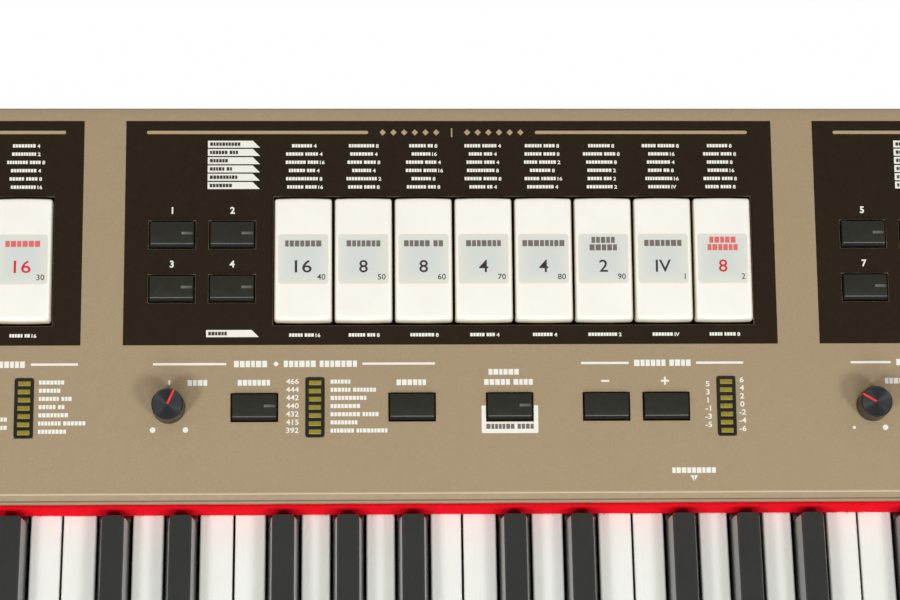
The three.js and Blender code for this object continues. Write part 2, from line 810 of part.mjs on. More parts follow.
// Push buttons, held up against the panel by a flange under it
function button() {
  const halfX = buttonWidth / 2;
  const halfY = buttonLength / 2;
  const flangeTop = -panelThickness - buttonFlangeGap;
  const flangeBottom = flangeTop - buttonFlange;
  const cap = barAlongX(outline([
    [-halfY, flangeBottom],
    [halfY, flangeBottom],
    [halfY, buttonRise],
    [-halfY + buttonFrontBevel, buttonRise],
    [-halfY, buttonRise - buttonFrontBevel],
  ]), -halfX, halfX);
  const flangeX = halfX + buttonSlack + buttonFlange;
  const flangeY = halfY + buttonSlack + buttonFlange;
  const flange = block(-flangeX, flangeX, -flangeY, flangeY, flangeBottom, flangeTop);
  const stemHalf = buttonStem / 2;
  const stemBottom = -panelBoardDepth + switchHeight + buttonTravel + fitGap;
  const stem = block(-stemHalf, stemHalf, -stemHalf, stemHalf, stemBottom, flangeTop);
  return joined([cap, flange, stem]);
}

for (const { name, x, y } of buttons) {
  const piece = place(deck, name, button(), buttonFinish);
  piece.position.set(x, y, 0);
}

// Knobs with a pointer slot across half of the top
function knob() {
  const body = turned([
    [0, -potDepth + fitGap],
    [knobShaftRadius, -potDepth + fitGap],
    [knobShaftRadius, knobLift],
    [knobSkirtRadius, knobLift],
    [knobSkirtRadius, knobLift + knobSkirtHeight],
    [knobTopRadius, knobLift + knobSkirtHeight + knobEdge],
    [knobTopRadius, knobHeight - knobEdge],
    [knobTopRadius - knobEdge, knobHeight],
    [0, knobHeight],
  ], knobSides);
  const slotHalf = knobSlotWidth / 2;
  const slotEnd = knobTopRadius + cutOverrun;
  const slotFloor = knobHeight - knobSlotDepth;
  const slot = block(-slotHalf, slotHalf, 0, slotEnd, slotFloor, knobHeight + cutOverrun);
  return cut(body, [slot]);
}

for (const { name, x, turn } of knobs) {
  const piece = place(deck, name, knob(), knobFinish);
  piece.position.set(x, controlRow, 0);
  piece.rotation.z = turn * degree;
}

// A row of small lights in a housing that stands on the control board
function lightBar(x) {
  const halfX = lightBarWidth / 2;
  const halfY = lightBarLength / 2;
  const housing = block(-halfX, halfX, -halfY, halfY, -panelBoardDepth, 0);
  const lightHalfX = lightWidth / 2;
  const lights = Array.from({ length: lightCount }, (_, i) => {
    const front = (i - (lightCount - 1) / 2) * lightPitch - lightLength / 2;
    return block(-lightHalfX, lightHalfX, front, front + lightLength, -lightRise, lightRise);
  });
  return at(joined([housing, ...lights]), x, controlRow, 0);
}

// A bar with a groove for the axles of one set of tablets
function pivotBar(set) {
  const half = pivotBarWidth / 2;
  const groove = axleRadius + grooveSlack;
  const shape = new THREE.Shape();
  shape.moveTo(-half, -panelBoardDepth);
  shape.lineTo(half, -panelBoardDepth);
  shape.lineTo(half, -pivotBarTop);
  shape.lineTo(groove, -pivotBarTop);
  shape.absarc(0, -axleDepth, groove, 0, -Math.PI, true);
  shape.lineTo(-groove, -pivotBarTop);
  shape.lineTo(-half, -pivotBarTop);
  return at(barAlongX(shape, set.left, set.left + spanOf(set.numbers)), 0, tabletRow, 0);
}

function standingBlock(x, y, width, top) {
  const half = width / 2;
  return block(x - half, x + half, y - half, y + half, -panelBoardDepth, top);
}

const panelBoardLeft = tabletSets[0].left - panelBoardLeftRun;
const panelBoardRight = upperTabletsLeft + spanOf(upperNumbers) + panelBoardRightRun;
const boardMeetingRow = (controlRow + lightHoleHalfY + tabletRow - windowHalf) / 2;
const controlBoardRear = boardMeetingRow - panelBoardGap / 2;
const tabletBoardRear = tabletRow + windowHalf + tabletBoardRearRun;

// A board under the panel, with a row of posts up to it
function panelBoard(front, rear, postRow) {
  const sheet = block(
    panelBoardLeft,
    panelBoardRight,
    front,
    rear,
    -panelBoardDepth - circuitThickness,
    -panelBoardDepth,
  );
  const posts = standoffShares.map((share) => at(
    rodAlongZ(standoffRadius, -panelBoardDepth, -panelThickness - fitGap, smallRoundSides),
    panelBoardLeft + share * (panelBoardRight - panelBoardLeft),
    postRow,
    0,
  ));
  return [sheet, ...posts];
}

const buttonSwitchTop = -panelBoardDepth + switchHeight;
const controlButtons = buttons.filter(({ y }) => y === controlRow);
const voiceRowButtons = buttons.filter(({ y }) => y !== controlRow);
place(deck, 'control_board', joined([
  ...panelBoard(controlRow - controlBoardFrontRun, controlBoardRear, controlBoardRear - controlPostInset),
  ...lightBarPlaces.map(lightBar),
  ...controlButtons.map(({ x, y }) => standingBlock(x, y, switchWidth, buttonSwitchTop)),
  ...knobs.map(({ x }) => standingBlock(x, controlRow, potWidth, -potDepth)),
]), circuitFinish);

const tabletSwitchTop = -panelBoardDepth + tabletSwitchHeight;
const tabletSwitchRow = tabletRow - tabletSwitchReach;
const tabletSwitches = tabletSets.flatMap((set) => set.numbers.map((_, index) => {
  const x = firstTabletX(set) + index * tabletPitch;
  return standingBlock(x, tabletSwitchRow, switchWidth, tabletSwitchTop);
}));
place(deck, 'tablet_board', joined([
  ...panelBoard(controlBoardRear + panelBoardGap, tabletBoardRear, tabletBoardRear - tabletPostInset),
  ...tabletSets.map(pivotBar),
  ...tabletSwitches,
  ...voiceRowButtons.map(({ x, y }) => standingBlock(x, y, switchWidth, buttonSwitchTop)),
]), circuitFinish);

// Main circuit board on posts
const mainHalfX = mainBoardWidth / 2;
const mainBoardX = -innerHalf + mainBoardSideGap + mainHalfX;
const mainY0 = pivotY + frameRearRun + mainBoardFrontGap;
const mainY1 = backInnerY - mainBoardRearGap;
const mainZ = boardTop + mainBoardRise;
const mainPieces = [
  block(mainBoardX - mainHalfX, mainBoardX + mainHalfX, mainY0, mainY1, mainZ, mainZ + circuitThickness),
];
for (const x of [mainBoardX - mainHalfX + mainPostInset, mainBoardX + mainHalfX - mainPostInset]) {
  for (const y of [mainY0 + mainPostInset, mainY1 - mainPostInset]) {
    mainPieces.push(at(rodAlongZ(standoffRadius, boardTop + fitGap, mainZ, smallRoundSides), x, y, 0));
  }
}
for (const [shareX, shareY] of chipPlaceShares) {
  const x = mainBoardX + shareX * mainBoardWidth;
  const y = (mainY0 + mainY1) / 2 + shareY * (mainY1 - mainY0);
  const half = chipWidth / 2;
  const z0 = mainZ + circuitThickness;
  mainPieces.push(block(x - half, x + half, y - half, y + half, z0, z0 + chipHeight));
}
place(organ, 'main_board', joined(mainPieces), circuitFinish);

export default organ;
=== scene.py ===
import json
import math

import bpy
import numpy as np
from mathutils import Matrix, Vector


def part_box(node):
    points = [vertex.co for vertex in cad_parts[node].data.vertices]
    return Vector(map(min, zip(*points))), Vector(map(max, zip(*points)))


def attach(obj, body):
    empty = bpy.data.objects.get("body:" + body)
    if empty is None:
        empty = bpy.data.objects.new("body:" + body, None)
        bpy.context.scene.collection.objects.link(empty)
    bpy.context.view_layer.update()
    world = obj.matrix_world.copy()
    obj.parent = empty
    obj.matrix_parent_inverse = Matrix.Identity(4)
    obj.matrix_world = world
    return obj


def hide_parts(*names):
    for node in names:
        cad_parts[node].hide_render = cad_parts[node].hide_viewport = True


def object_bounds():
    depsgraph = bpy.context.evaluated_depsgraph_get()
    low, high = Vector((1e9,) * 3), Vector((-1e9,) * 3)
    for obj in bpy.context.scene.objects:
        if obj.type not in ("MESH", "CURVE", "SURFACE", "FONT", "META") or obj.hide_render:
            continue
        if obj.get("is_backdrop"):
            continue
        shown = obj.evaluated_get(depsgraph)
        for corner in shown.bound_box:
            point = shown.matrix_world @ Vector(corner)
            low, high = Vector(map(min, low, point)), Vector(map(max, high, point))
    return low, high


# The looks of a table-top electronic organ, around the fixed frame of its working parts.
# Lengths are in millimetres here and become metres when a mesh is made.
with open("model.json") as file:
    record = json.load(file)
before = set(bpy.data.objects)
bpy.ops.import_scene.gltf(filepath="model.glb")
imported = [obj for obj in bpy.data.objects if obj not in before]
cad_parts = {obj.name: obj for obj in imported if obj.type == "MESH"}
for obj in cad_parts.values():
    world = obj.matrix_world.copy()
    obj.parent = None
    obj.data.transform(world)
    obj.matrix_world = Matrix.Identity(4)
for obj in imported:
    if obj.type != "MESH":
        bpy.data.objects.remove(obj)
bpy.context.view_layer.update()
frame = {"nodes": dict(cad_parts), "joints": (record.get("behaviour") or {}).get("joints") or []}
nodes = frame["nodes"]
joints = {j["name"]: j for j in frame["joints"]}
mm = 0.001
print("frame loaded:", len(nodes), "nodes")


def boxOf(node):
    low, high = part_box(node)
    return np.array(low) / mm, np.array(high) / mm


def nodePoints(node):
    flat = np.zeros(len(nodes[node].data.vertices) * 3)
    nodes[node].data.vertices.foreach_get("co", flat)
    return flat.reshape(-1, 3) / mm


# The sloping panel's own directions: x across, v up the slope from the front bend, n out of its face
pressAxis = np.array(joints["scale_button_press"]["axis"])
slopeAngle = math.atan2(-pressAxis[1], pressAxis[2])
upSlope = np.array([0.0, math.cos(slopeAngle), math.sin(slopeAngle)])
outOfPanel = np.array([0.0, -math.sin(slopeAngle), math.cos(slopeAngle)])
panelPoints = nodePoints("top_panel")
panelFace = (panelPoints @ outOfPanel).max()
onFace = panelPoints[panelPoints @ outOfPanel > panelFace - 0.01]
bendLine = (onFace @ upSlope).min()
panelLength = (onFace @ upSlope).max() - bendLine


def deckPlace(points):
    # x stays, v runs along the slope from the bend and n along the normal from the face
    p = np.asarray(points, float)
    along = (p[..., 1:2] + bendLine) * upSlope
    out = (p[..., 2:3] + panelFace) * outOfPanel
    return p[..., 0:1] * np.array([1.0, 0.0, 0.0]) + along + out


def deckCentre(node):
    # where the middle of a control stands on the panel, as (x, v)
    p = nodePoints(node)
    v = p @ upSlope - bendLine
    return (p[:, 0].min() + p[:, 0].max()) / 2, (v.min() + v.max()) / 2


# Materials
def linear(colour):
    # an sRGB colour, 0 to 255, as Blender's linear colour
    c = np.array(colour, float) / 255
    return (*np.where(c <= 0.04045, c / 12.92, ((c + 0.055) / 1.055) ** 2.4), 1.0)


class Nodes:
    # short words for adding nodes to a tree and joining them; _ in a socket's name stands for a space
    def __init__(self, tree):
        self.tree = tree

    def add(self, kind, **settings):
        node = self.tree.nodes.new("ShaderNode" + kind)
        for key, value in settings.items():
            if hasattr(node, key):
                setattr(node, key, value)
            else:
                node.inputs[key.replace("_", " ")].default_value = value
        return node

    def join(self, output, target):
        self.tree.links.new(output, target)

    def calc(self, operation, *sources, kind="Math"):
        node = self.add(kind, operation=operation)
        for source, socket in zip(sources, node.inputs):
            self.join(source, socket)
        return node.outputs["Value"]

    def ramp(self, source, low=0.3, high=0.7, start=0.0, end=1.0):
        node = self.add("MapRange", From_Min=low, From_Max=high, To_Min=start, To_Max=end)
        self.join(source, node.inputs["Value"])
        return node.outputs["Result"]


class Finish(Nodes):
    # a material under construction, its noises laid on object coordinates
    def __init__(self, name, **settings):
        self.material = bpy.data.materials.new(name)
        self.material.use_nodes = True
        super().__init__(self.material.node_tree)
        self.shader = self.tree.nodes["Principled BSDF"]
        self.place = self.add("TexCoord").outputs["Object"]
        for socket, value in settings.items():
            self.shader.inputs[socket.replace("_", " ")].default_value = value

    def noise(self, size, detail=3.0, stretch=(1, 1, 1), rough=0.6):
        # noise whose features are about that many millimetres across
        mapping = self.add("Mapping", Scale=[1 / (size * mm * s) for s in stretch])
        self.join(self.place, mapping.inputs["Vector"])
        texture = self.add("TexNoise", Scale=1.0, Detail=detail, Roughness=rough)
        self.join(mapping.outputs["Vector"], texture.inputs["Vector"])
        return texture.outputs["Fac"]

    def own(self, name):
        # the piece's own values of that name
        return self.add("Attribute", attribute_name=name).outputs["Fac"]

    def mix(self, factor, first, second):
        node = self.add("Mix", data_type="RGBA")
        self.join(factor, node.inputs[0])
        for socket, value in ((node.inputs[6], first), (node.inputs[7], second)):
            if isinstance(value, tuple):
                socket.default_value = linear(value)
            else:
                self.join(value, socket)
        return node.outputs[2]

    def clouded(self, fine, colour, shade):
        # fine grain between two colours, with slow clouds over it
        mixed = self.mix(self.ramp(fine), shade, colour)
        return self.mix(self.ramp(self.noise(60, 2), 0.35, 0.75, 0.0, 0.35), mixed, shade)

    def colour(self, output):
        self.join(output, self.shader.inputs["Base Color"])

    def rough(self, output):
        self.join(output, self.shader.inputs["Roughness"])

    def bump(self, source, height, under=None):
        node = self.add("Bump", Strength=1.0, Distance=height * mm)
        self.join(source, node.inputs["Height"])
        if under is not None:
            self.join(under, node.inputs["Normal"])
        self.join(node.outputs["Normal"], self.shader.inputs["Normal"])
        return node.outputs["Normal"]


def grained(name, colour, shade, grain, depth, roughness, spread=0.08, **settings):
    # clouded grain between two colours, and the same grain in relief
    f = Finish(name, **settings)
    fine = f.noise(grain)
    f.colour(f.clouded(fine, colour, shade))
    f.rough(f.ramp(f.noise(grain * 4), 0.3, 0.7, roughness - spread, roughness + spread))
    f.bump(fine, depth)


# colour, shade, size of the grain, its depth, roughness and perhaps the roughness's spread
grains = {
    "dark_field_print": ((39, 28, 11), (34, 23, 7), 0.7, 0.03, 0.5),
    "raw_edge": ((176, 152, 124), (150, 128, 102), 0.5, 0.02, 0.35),
    "white_print": ((243, 242, 232), (232, 231, 220), 0.5, 0.01, 0.5),
    "tan_print": ((184, 160, 126), (172, 148, 114), 0.5, 0.01, 0.45),
    "dark_ink": ((62, 50, 44), (52, 42, 38), 0.4, 0.005, 0.5),
    "red_ink": ((222, 44, 52), (208, 36, 46), 0.4, 0.005, 0.5),
    "thin_ink": ((122, 112, 104), (110, 100, 92), 0.4, 0.005, 0.5),
    "thin_red_ink": ((228, 112, 108), (218, 98, 98), 0.4, 0.005, 0.5),
    "dark_brown_paint": ((52, 42, 34), (41, 33, 27), 0.9, 0.06, 0.5),
    "black_plastic": ((34, 34, 33), (26, 26, 26), 0.5, 0.02, 0.45),
    "matt_black_plastic": ((30, 28, 22), (24, 22, 18), 0.5, 0.02, 0.65),
    "green_circuit_board": ((38, 96, 56), (28, 78, 46), 6.0, 0.05, 0.4),
    # near-black painted shade: for the boards seen down the panel's openings, the screws' cross recess and the
    # data socket's pin holes
    "painted_shade_near_black": ((26, 22, 18), (20, 17, 14), 6.0, 0.05, 0.5),
    "blackened_steel": ((70, 70, 70), (54, 54, 55), 0.5, 0.01, 0.35),
    "nickel_plate": ((196, 196, 192), (176, 176, 172), 0.6, 0.01, 0.25),
    "label_edge": ((236, 228, 208), (228, 219, 197), 0.4, 0.005, 0.45),
    # near-black painted shade for the button caps' walls and bevels, and a lighter painted highlight along
    # their front edge
    "painted_shade_button_walls": ((14, 14, 12), (10, 10, 9), 0.4, 0.003, 0.45),
    "painted_highlight_button_edge": ((86, 88, 82), (76, 77, 72), 0.4, 0.003, 0.35),
    "glossy_black_plastic": ((24, 24, 23), (18, 18, 18), 0.5, 0.01, 0.34, 0.04),
}
grainSettings = {
    "dark_field_print": {"Specular_IOR_Level": 0.22}, "raw_edge": {"Metallic": 0.5},
    "matt_black_plastic": {"Specular_IOR_Level": 0.3}, "blackened_steel": {"Metallic": 0.9},
    "nickel_plate": {"Metallic": 1.0}, "painted_shade_button_walls": {"Specular_IOR_Level": 0.15},
}
for name, row in grains.items():
    grained(name, *row, **grainSettings.get(name, {}))


def rubbed(name, low, high, wear, roughness, depth, tone=None, reach=(0.3, 0.7), wearReach=(0.3, 0.7),
           toneRelief=False, **settings):
    # one noise between two colours and one in the roughness, either of them in relief
    f = Finish(name, **settings)
    worn = f.noise(*wear)
    toned = f.noise(*tone) if tone else worn
    f.colour(f.mix(f.ramp(toned, *reach), low, high))
    f.rough(f.ramp(worn, *wearReach, *roughness))
    f.bump(toned if toneRelief else worn, depth)


# dark stained board: streaks along x, with pores in relief; and brushed steel, the strokes along x
rubbed("stained_board", (50, 40, 32), (72, 58, 46), (0.8, 2, (14, 1, 1)), (0.55, 0.75), 0.12,
       tone=(14, 4, (12, 1, 1)))
rubbed("brushed_steel", (150, 153, 156), (186, 189, 192), (0.5, 3, (60, 1, 1)), (0.3, 0.5), 0.02,
       reach=(0, 1), Metallic=1.0)
rubbed("foot_rubber", (24, 24, 24), (40, 40, 39), (0.8,), (0.8, 0.95), 0.1, reach=(0, 1))
# moulded key plastic: faint mould clouds and fine rubbed scratches along the key
rubbed("white_key_plastic", (246, 247, 240), (250, 251, 245), (0.8, 3, (1, 25, 1)), (0.27, 0.32), 0.0012,
       tone=(30, 2), reach=(0.35, 0.7), wearReach=(0.35, 0.7), IOR=1.5)
rubbed("button_plastic", (32, 32, 23), (39, 38, 29), (3,), (0.32, 0.44), 0.004, tone=(0.35,),
       toneRelief=True, IOR=1.5, Specular_IOR_Level=0.4)
# the lights and the pointers, their colour moving with a slow noise
for name, low, high, roughness in (("bar_light_lens", (134, 121, 32), (152, 139, 36), (0.24, 0.36)),
                                   ("pointer_paint", (240, 40, 30), (255, 52, 38), (0.39, 0.51))):
    rubbed(name, low, high, (0.6,), roughness, 0.01, tone=(1.5, 2), toneRelief=True,
           Coat_Weight=0.4, Coat_Roughness=0.15)

# fine-grained tan metallic paint, lighter along the front bend from worn paint and a painted highlight, and
# darker on the lip by painted shade
f = Finish("tan_metallic_paint", Metallic=0.12)
fine, bend = f.noise(0.7), f.own("bend")
lip = f.mix(f.ramp(bend, -0.1, -0.5), f.clouded(fine, (174, 153, 121), (165, 144, 113)), (141, 121, 92))
f.colour(f.mix(f.ramp(bend, 0.2, 0.9), lip, (184, 167, 138)))
f.rough(f.ramp(f.noise(2.8), 0.3, 0.7, 0.34, 0.5))
f.bump(fine, 0.03)

# red felt: tangled fibres in colour and relief, with a soft sheen
f = Finish("red_felt", Sheen_Weight=0.25, Sheen_Roughness=0.5, Specular_IOR_Level=0.05,
           Sheen_Tint=linear((255, 40, 30)))
fibre, tuft = f.noise(0.45, 5, rough=0.75), f.noise(2.2)
tone = f.mix(f.ramp(fibre), (240, 4, 24), (255, 26, 48))
f.colour(f.mix(f.ramp(tuft, 0.4, 0.75, 0.0, 0.4), tone, (246, 8, 32)))
f.rough(f.ramp(fibre, 0.3, 0.7, 0.9, 1.0))
f.bump(fibre, 0.8, under=f.bump(tuft, 0.9))

# moulded black with a fine grain, coated and glossier by the piece's own values
f = Finish("black_key_plastic", IOR=1.5, Coat_IOR=2.1, Coat_Roughness=0.08)
fine, gloss = f.noise(0.45), f.own("side")
f.colour(f.mix(f.ramp(fine), (42, 43, 39), (50, 51, 47)))
f.join(gloss, f.shader.inputs["Coat Weight"])
blend = f.add("Mix", data_type="FLOAT")
f.join(gloss, blend.inputs[0])
f.join(f.ramp(f.noise(18, 2), 0.35, 0.7, 0.4, 0.52), blend.inputs[2])
blend.inputs[3].default_value = 0.2
f.rough(blend.outputs[0])
f.bump(fine, 0.005)

# warm white plastic whose walls take a painted beige shade and, deeper down, a painted amber glow of light
# through the plastic
f = Finish("tablet_plastic", IOR=1.49)
depth = f.own("depth")
top = f.mix(f.ramp(f.noise(16, 2), 0.3, 0.75), (245, 241, 230), (249, 246, 237))
beige = f.mix(f.ramp(depth, 0.004, 0.05), top, (198, 190, 171))
f.colour(f.mix(f.ramp(depth, 0.45, 0.62), beige, (206, 132, 70)))
f.rough(f.ramp(f.noise(1.2), 0.3, 0.7, 0.3, 0.4))
f.bump(f.noise(0.8), 0.006)

# the label behind a tablet's window: grey, a little cooler in its middle
f = Finish("label_window", Coat_Weight=0.3, Coat_Roughness=0.2)
f.colour(f.mix(f.ramp(f.own("edge"), 0.2, 1.0), (211, 216, 210), (224, 224, 213)))
f.rough(f.ramp(f.noise(0.9), 0.3, 0.7, 0.35, 0.5))
f.bump(f.noise(0.5), 0.004)

# a smoky light window, clear at its left end and fading into the cap's grey at its right
f = Finish("button_light_lens", Coat_Weight=0.3)
slow = f.noise(1.5, 2)
f.colour(f.mix(f.own("fade"), f.mix(f.ramp(slow), (98, 100, 98), (112, 114, 112)), (56, 57, 56)))
f.rough(f.ramp(f.noise(0.6), 0.3, 0.7, 0.3, 0.42))
f.bump(slow, 0.008)


def spunFinish(name, centre):
    # spun metal: fine rings about the disc's own axis, lit in two fans by anisotropy
    f = Finish(name, Metallic=0.75, Anisotropic=0.85, Roughness=0.42)
    mapping = f.add("Mapping", vector_type="TEXTURE", Location=centre, Rotation=(slopeAngle, 0, 0))
    f.join(f.place, mapping.inputs["Vector"])
    rings = f.add("TexWave", wave_type="RINGS", rings_direction="Z", Scale=1 / (0.28 * mm * 6.3),
                  Distortion=0.6, Detail=2.0)
    f.join(mapping.outputs["Vector"], rings.inputs["Vector"])
    f.colour(f.mix(rings.outputs["Fac"], (57, 58, 60), (76, 78, 80)))
    f.bump(rings.outputs["Fac"], 0.008)
    tangent = f.add("Tangent", direction_type="UV_MAP")
    tangent.uv_map = "spin"
    f.join(tangent.outputs["Tangent"], f.shader.inputs["Tangent"])


print("finishes made:", len(bpy.data.materials))


# Meshes from arrays. A shape is its points, in millimetres, and its faces, as lists of indices
def newObject(name, shape, materials):
    points, faces = shape
    mesh = bpy.data.meshes.new(name)
    mesh.from_pydata((np.asarray(points, float) * mm).tolist(), [], faces)
    for material in materials:
        mesh.materials.append(bpy.data.materials[material])
    thing = bpy.data.objects.new(name, mesh)
    bpy.context.scene.collection.objects.link(thing)
    return thing


def makePiece(name, shape, materials, slot, body="root", replaces=(), pick=None, smooth=False,
              sharp=None, bevel=None):
    # pick is the material of each face, sharp the angle in degrees from which edges stay sharp
    piece = newObject(name, shape, materials)
    mesh = piece.data
    if pick is not None:
        mesh.polygons.foreach_set("material_index", np.asarray(pick, np.int32))
    smooth = bool(smooth or sharp or bevel)
    mesh.polygons.foreach_set("use_smooth", np.full(len(mesh.polygons), smooth))
    mesh.update()
    if sharp:
        mesh.set_sharp_from_angle(angle=math.radians(sharp))
    if bevel:
        addBevel(piece, *bevel)
    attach(piece, body)
    if replaces:
        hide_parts(*replaces)
    return piece


def addBevel(piece, width, segments=3, angle=30):
    modifier = piece.modifiers.new("edge", "BEVEL")
    modifier.width = width * mm
    modifier.segments = segments
    modifier.limit_method = "ANGLE"
    modifier.angle_limit = math.radians(angle)
    modifier.harden_normals = True


def addWall(piece, thickness, rimMaterial=0):
    modifier = piece.modifiers.new("wall", "SOLIDIFY")
    modifier.thickness = thickness * mm
    modifier.offset = -1
    modifier.material_offset_rim = rimMaterial


def ownValues(piece, name, values):
    # a value for each vertex, read by the piece's material
    attribute = piece.data.attributes.new(name, "FLOAT", "POINT")
    attribute.data.foreach_set("value", np.asarray(values, np.float32))


class Bag:
    # closed shapes gathered into one mesh
    def __init__(self):
        self.points, self.faces, self.pick, self.count = [], [], [], 0

    def add(self, shape, material=0):
        points, faces = shape
        self.points.append(np.asarray(points, float).reshape(-1, 3))
        self.faces += [[i + self.count for i in face] for face in faces]
        self.pick += np.broadcast_to(material, len(faces)).tolist()
        self.count += len(self.points[-1])

    def make(self, name, materials, slot, **settings):
        shape = np.vstack(self.points), self.faces
        return makePiece(name, shape, materials, slot, pick=self.pick, **settings)


def tube(rings):
    # rings (R, N, 3), each counter-clockwise seen against the way they rise, closed by a face at each end
    count, around = rings.shape[:2]
    i = np.arange(count - 1)[:, None] * around
    j = np.arange(around)[None, :]
    k = (j + 1) % around
    quads = np.stack([i + j, i + k, i + around + k, i + around + j], -1).reshape(-1, 4).tolist()
    quads.append(list(range(around))[::-1])
    quads.append(list(range((count - 1) * around, count * around)))
    return rings.reshape(-1, 3), quads


def prism(outline, low, high):
    # a flat outline in two directions, carried straight from one height to another
    outline = np.asarray(outline, float)
    return tube(np.stack([np.column_stack([outline, np.full(len(outline), h)]) for h in (low, high)]))


def onDeck(shape):
    return deckPlace(shape[0]), shape[1]


def rectangle(x0, x1, y0, y1):
    return np.array([(x0, y0), (x1, y0), (x1, y1), (x0, y1)])


def roundedRings(halfX, halfY, radius, height, shiftY=0.0, steps=5):
    # rectangles whose corners are quarter circles: corner centre plus radius times cosine, sine
    halfX, halfY, radius, height, shiftY = np.broadcast_arrays(
        *[np.atleast_1d(np.asarray(a, float)) for a in (halfX, halfY, radius, height, shiftY)])
    quarter = np.linspace(0, math.pi / 2, steps)
    angle = (np.arange(4)[:, None] * math.pi / 2 - math.pi / 2 + quarter).ravel()
    signX = np.repeat([1, 1, -1, -1], steps)
    signY = np.repeat([-1, 1, 1, -1], steps)
    x = signX * (halfX - radius)[:, None] + radius[:, None] * np.cos(angle)
    y = signY * (halfY - radius)[:, None] + radius[:, None] * np.sin(angle) + shiftY[:, None]
    return np.stack([x, y, np.broadcast_to(height[:, None], x.shape)], -1)


def lathe(profile, sides):
    # a profile of (radius, height) turned about the third direction
    profile = np.asarray(profile, float)
    angle = np.arange(sides) * 2 * math.pi / sides
    x = profile[:, :1] * np.cos(angle)
    y = profile[:, :1] * np.sin(angle)
    return np.stack([x, y, np.broadcast_to(profile[:, 1:2], x.shape)], -1)


def carried(rings, direction):
    # swaps the third direction of a shape for world x or y, keeping its faces outwards
    return rings[..., {"x": [2, 0, 1], "y": [1, 2, 0]}[direction]]


def arc(centre, radius, start, end, steps):
    angle = np.radians(np.linspace(start, end, steps))
    return np.column_stack([centre[0] + radius * np.cos(angle), centre[1] + radius * np.sin(angle)])


# Camera at the photograph's view
camera = {
    "place": (-133.73, -288.82, 1120.44),
    "turn": (20.3396, -1.6967, -0.7656),  # degrees about x, y and z
    "lens": 104.30, "sensor": 36.0, "clip": (0.05, 50),
}
cameraData = bpy.data.cameras.new("camera")
cameraData.lens = camera["lens"]
cameraData.sensor_width = camera["sensor"]
cameraData.clip_start, cameraData.clip_end = camera["clip"]
cameraObject = bpy.data.objects.new("camera", cameraData)
cameraObject.location = [c * mm for c in camera["place"]]
cameraObject.rotation_euler = [math.radians(a) for a in camera["turn"]]
bpy.context.scene.collection.objects.link(cameraObject)
bpy.context.scene.camera = cameraObject

# CAD nodes that keep their shape get their finish
keptFinishes = {
    "bottom_board": "stained_board", "key_frame": "brushed_steel", "socket_board": "black_plastic",
    "contact_board": "green_circuit_board", "main_board": "green_circuit_board",
    # the boards under the openings are near-black as painted shade
    "control_board": "painted_shade_near_black", "tablet_board": "painted_shade_near_black",
    "rear_panel": "dark_brown_paint",
}
for node, material in keptFinishes.items():
    nodes[node].data.materials.clear()
    nodes[node].data.materials.append(bpy.data.materials[material])
print("camera set, kept nodes painted")


# White keys
keyStyle = {
    "pitch": 23.5, "gap": 1.0, "octaves": 5, "whites": 7, "thickness": 12.0, "topThickness": 3.2,
    "topSeam": 0.02, "edge": (0.9, 4), "frontOverhang": 1.6, "sideInset": 0.7, "skirt": 2.2,
    "skirtOverlap": 0.5, "strip": (1, 4, 4.5), "headLength": 50.0, "sharpNotch": 14.8,
    "nearSpread": 13.8, "wideSpread": 26.6,
}
octaveWidth = keyStyle["whites"] * keyStyle["pitch"]
keysLeft = boxOf("white_keys_1")[0][0] - keyStyle["gap"] / 2


def sharpPlaces(start):
    # the middles of an octave's black keys, spread about the middles of their two groups
    s = keyStyle
    first, second = 1.5 * s["pitch"], 5 * s["pitch"]
    return np.array([first - s["nearSpread"], first + s["nearSpread"],
                     second - s["wideSpread"], second, second + s["wideSpread"]]) + start


def insetOutline(outline, inset):
    # a rectilinear outline drawn in: every corner moves by the inward normals of its two sides
    ahead = np.roll(outline, -1, axis=0) - outline
    ahead /= np.linalg.norm(ahead, axis=1)[:, None]
    normal = np.column_stack([-ahead[:, 1], ahead[:, 0]])
    return outline + inset * (normal + np.roll(normal, 1, axis=0))


def whiteOutline(index, start, front, rear, last):
    # the plan of a white key, notched beside its black neighbours
    s = keyStyle
    left = start + index * s["pitch"] + s["gap"] / 2
    right = left + s["pitch"] - s["gap"]
    sharps = sharpPlaces(start)
    middle = (left + right) / 2
    notchLeft = sharps[(sharps < middle) & (sharps > left - s["pitch"] / 2)]
    notchRight = sharps[(sharps > middle) & (sharps < right + s["pitch"] / 2)]
    tailLeft = notchLeft.max() + s["sharpNotch"] / 2 if len(notchLeft) else left
    tailRight = notchRight.min() - s["sharpNotch"] / 2 if len(notchRight) and not last else right
    headEnd = front + s["headLength"]
    points = [(left, front), (right, front)]
    if tailRight < right:
        points += [(right, headEnd), (tailRight, headEnd)]
    points += [(tailRight, rear), (tailLeft, rear)]
    if tailLeft > left:
        points += [(tailLeft, headEnd), (left, headEnd)]
    return np.array(points)


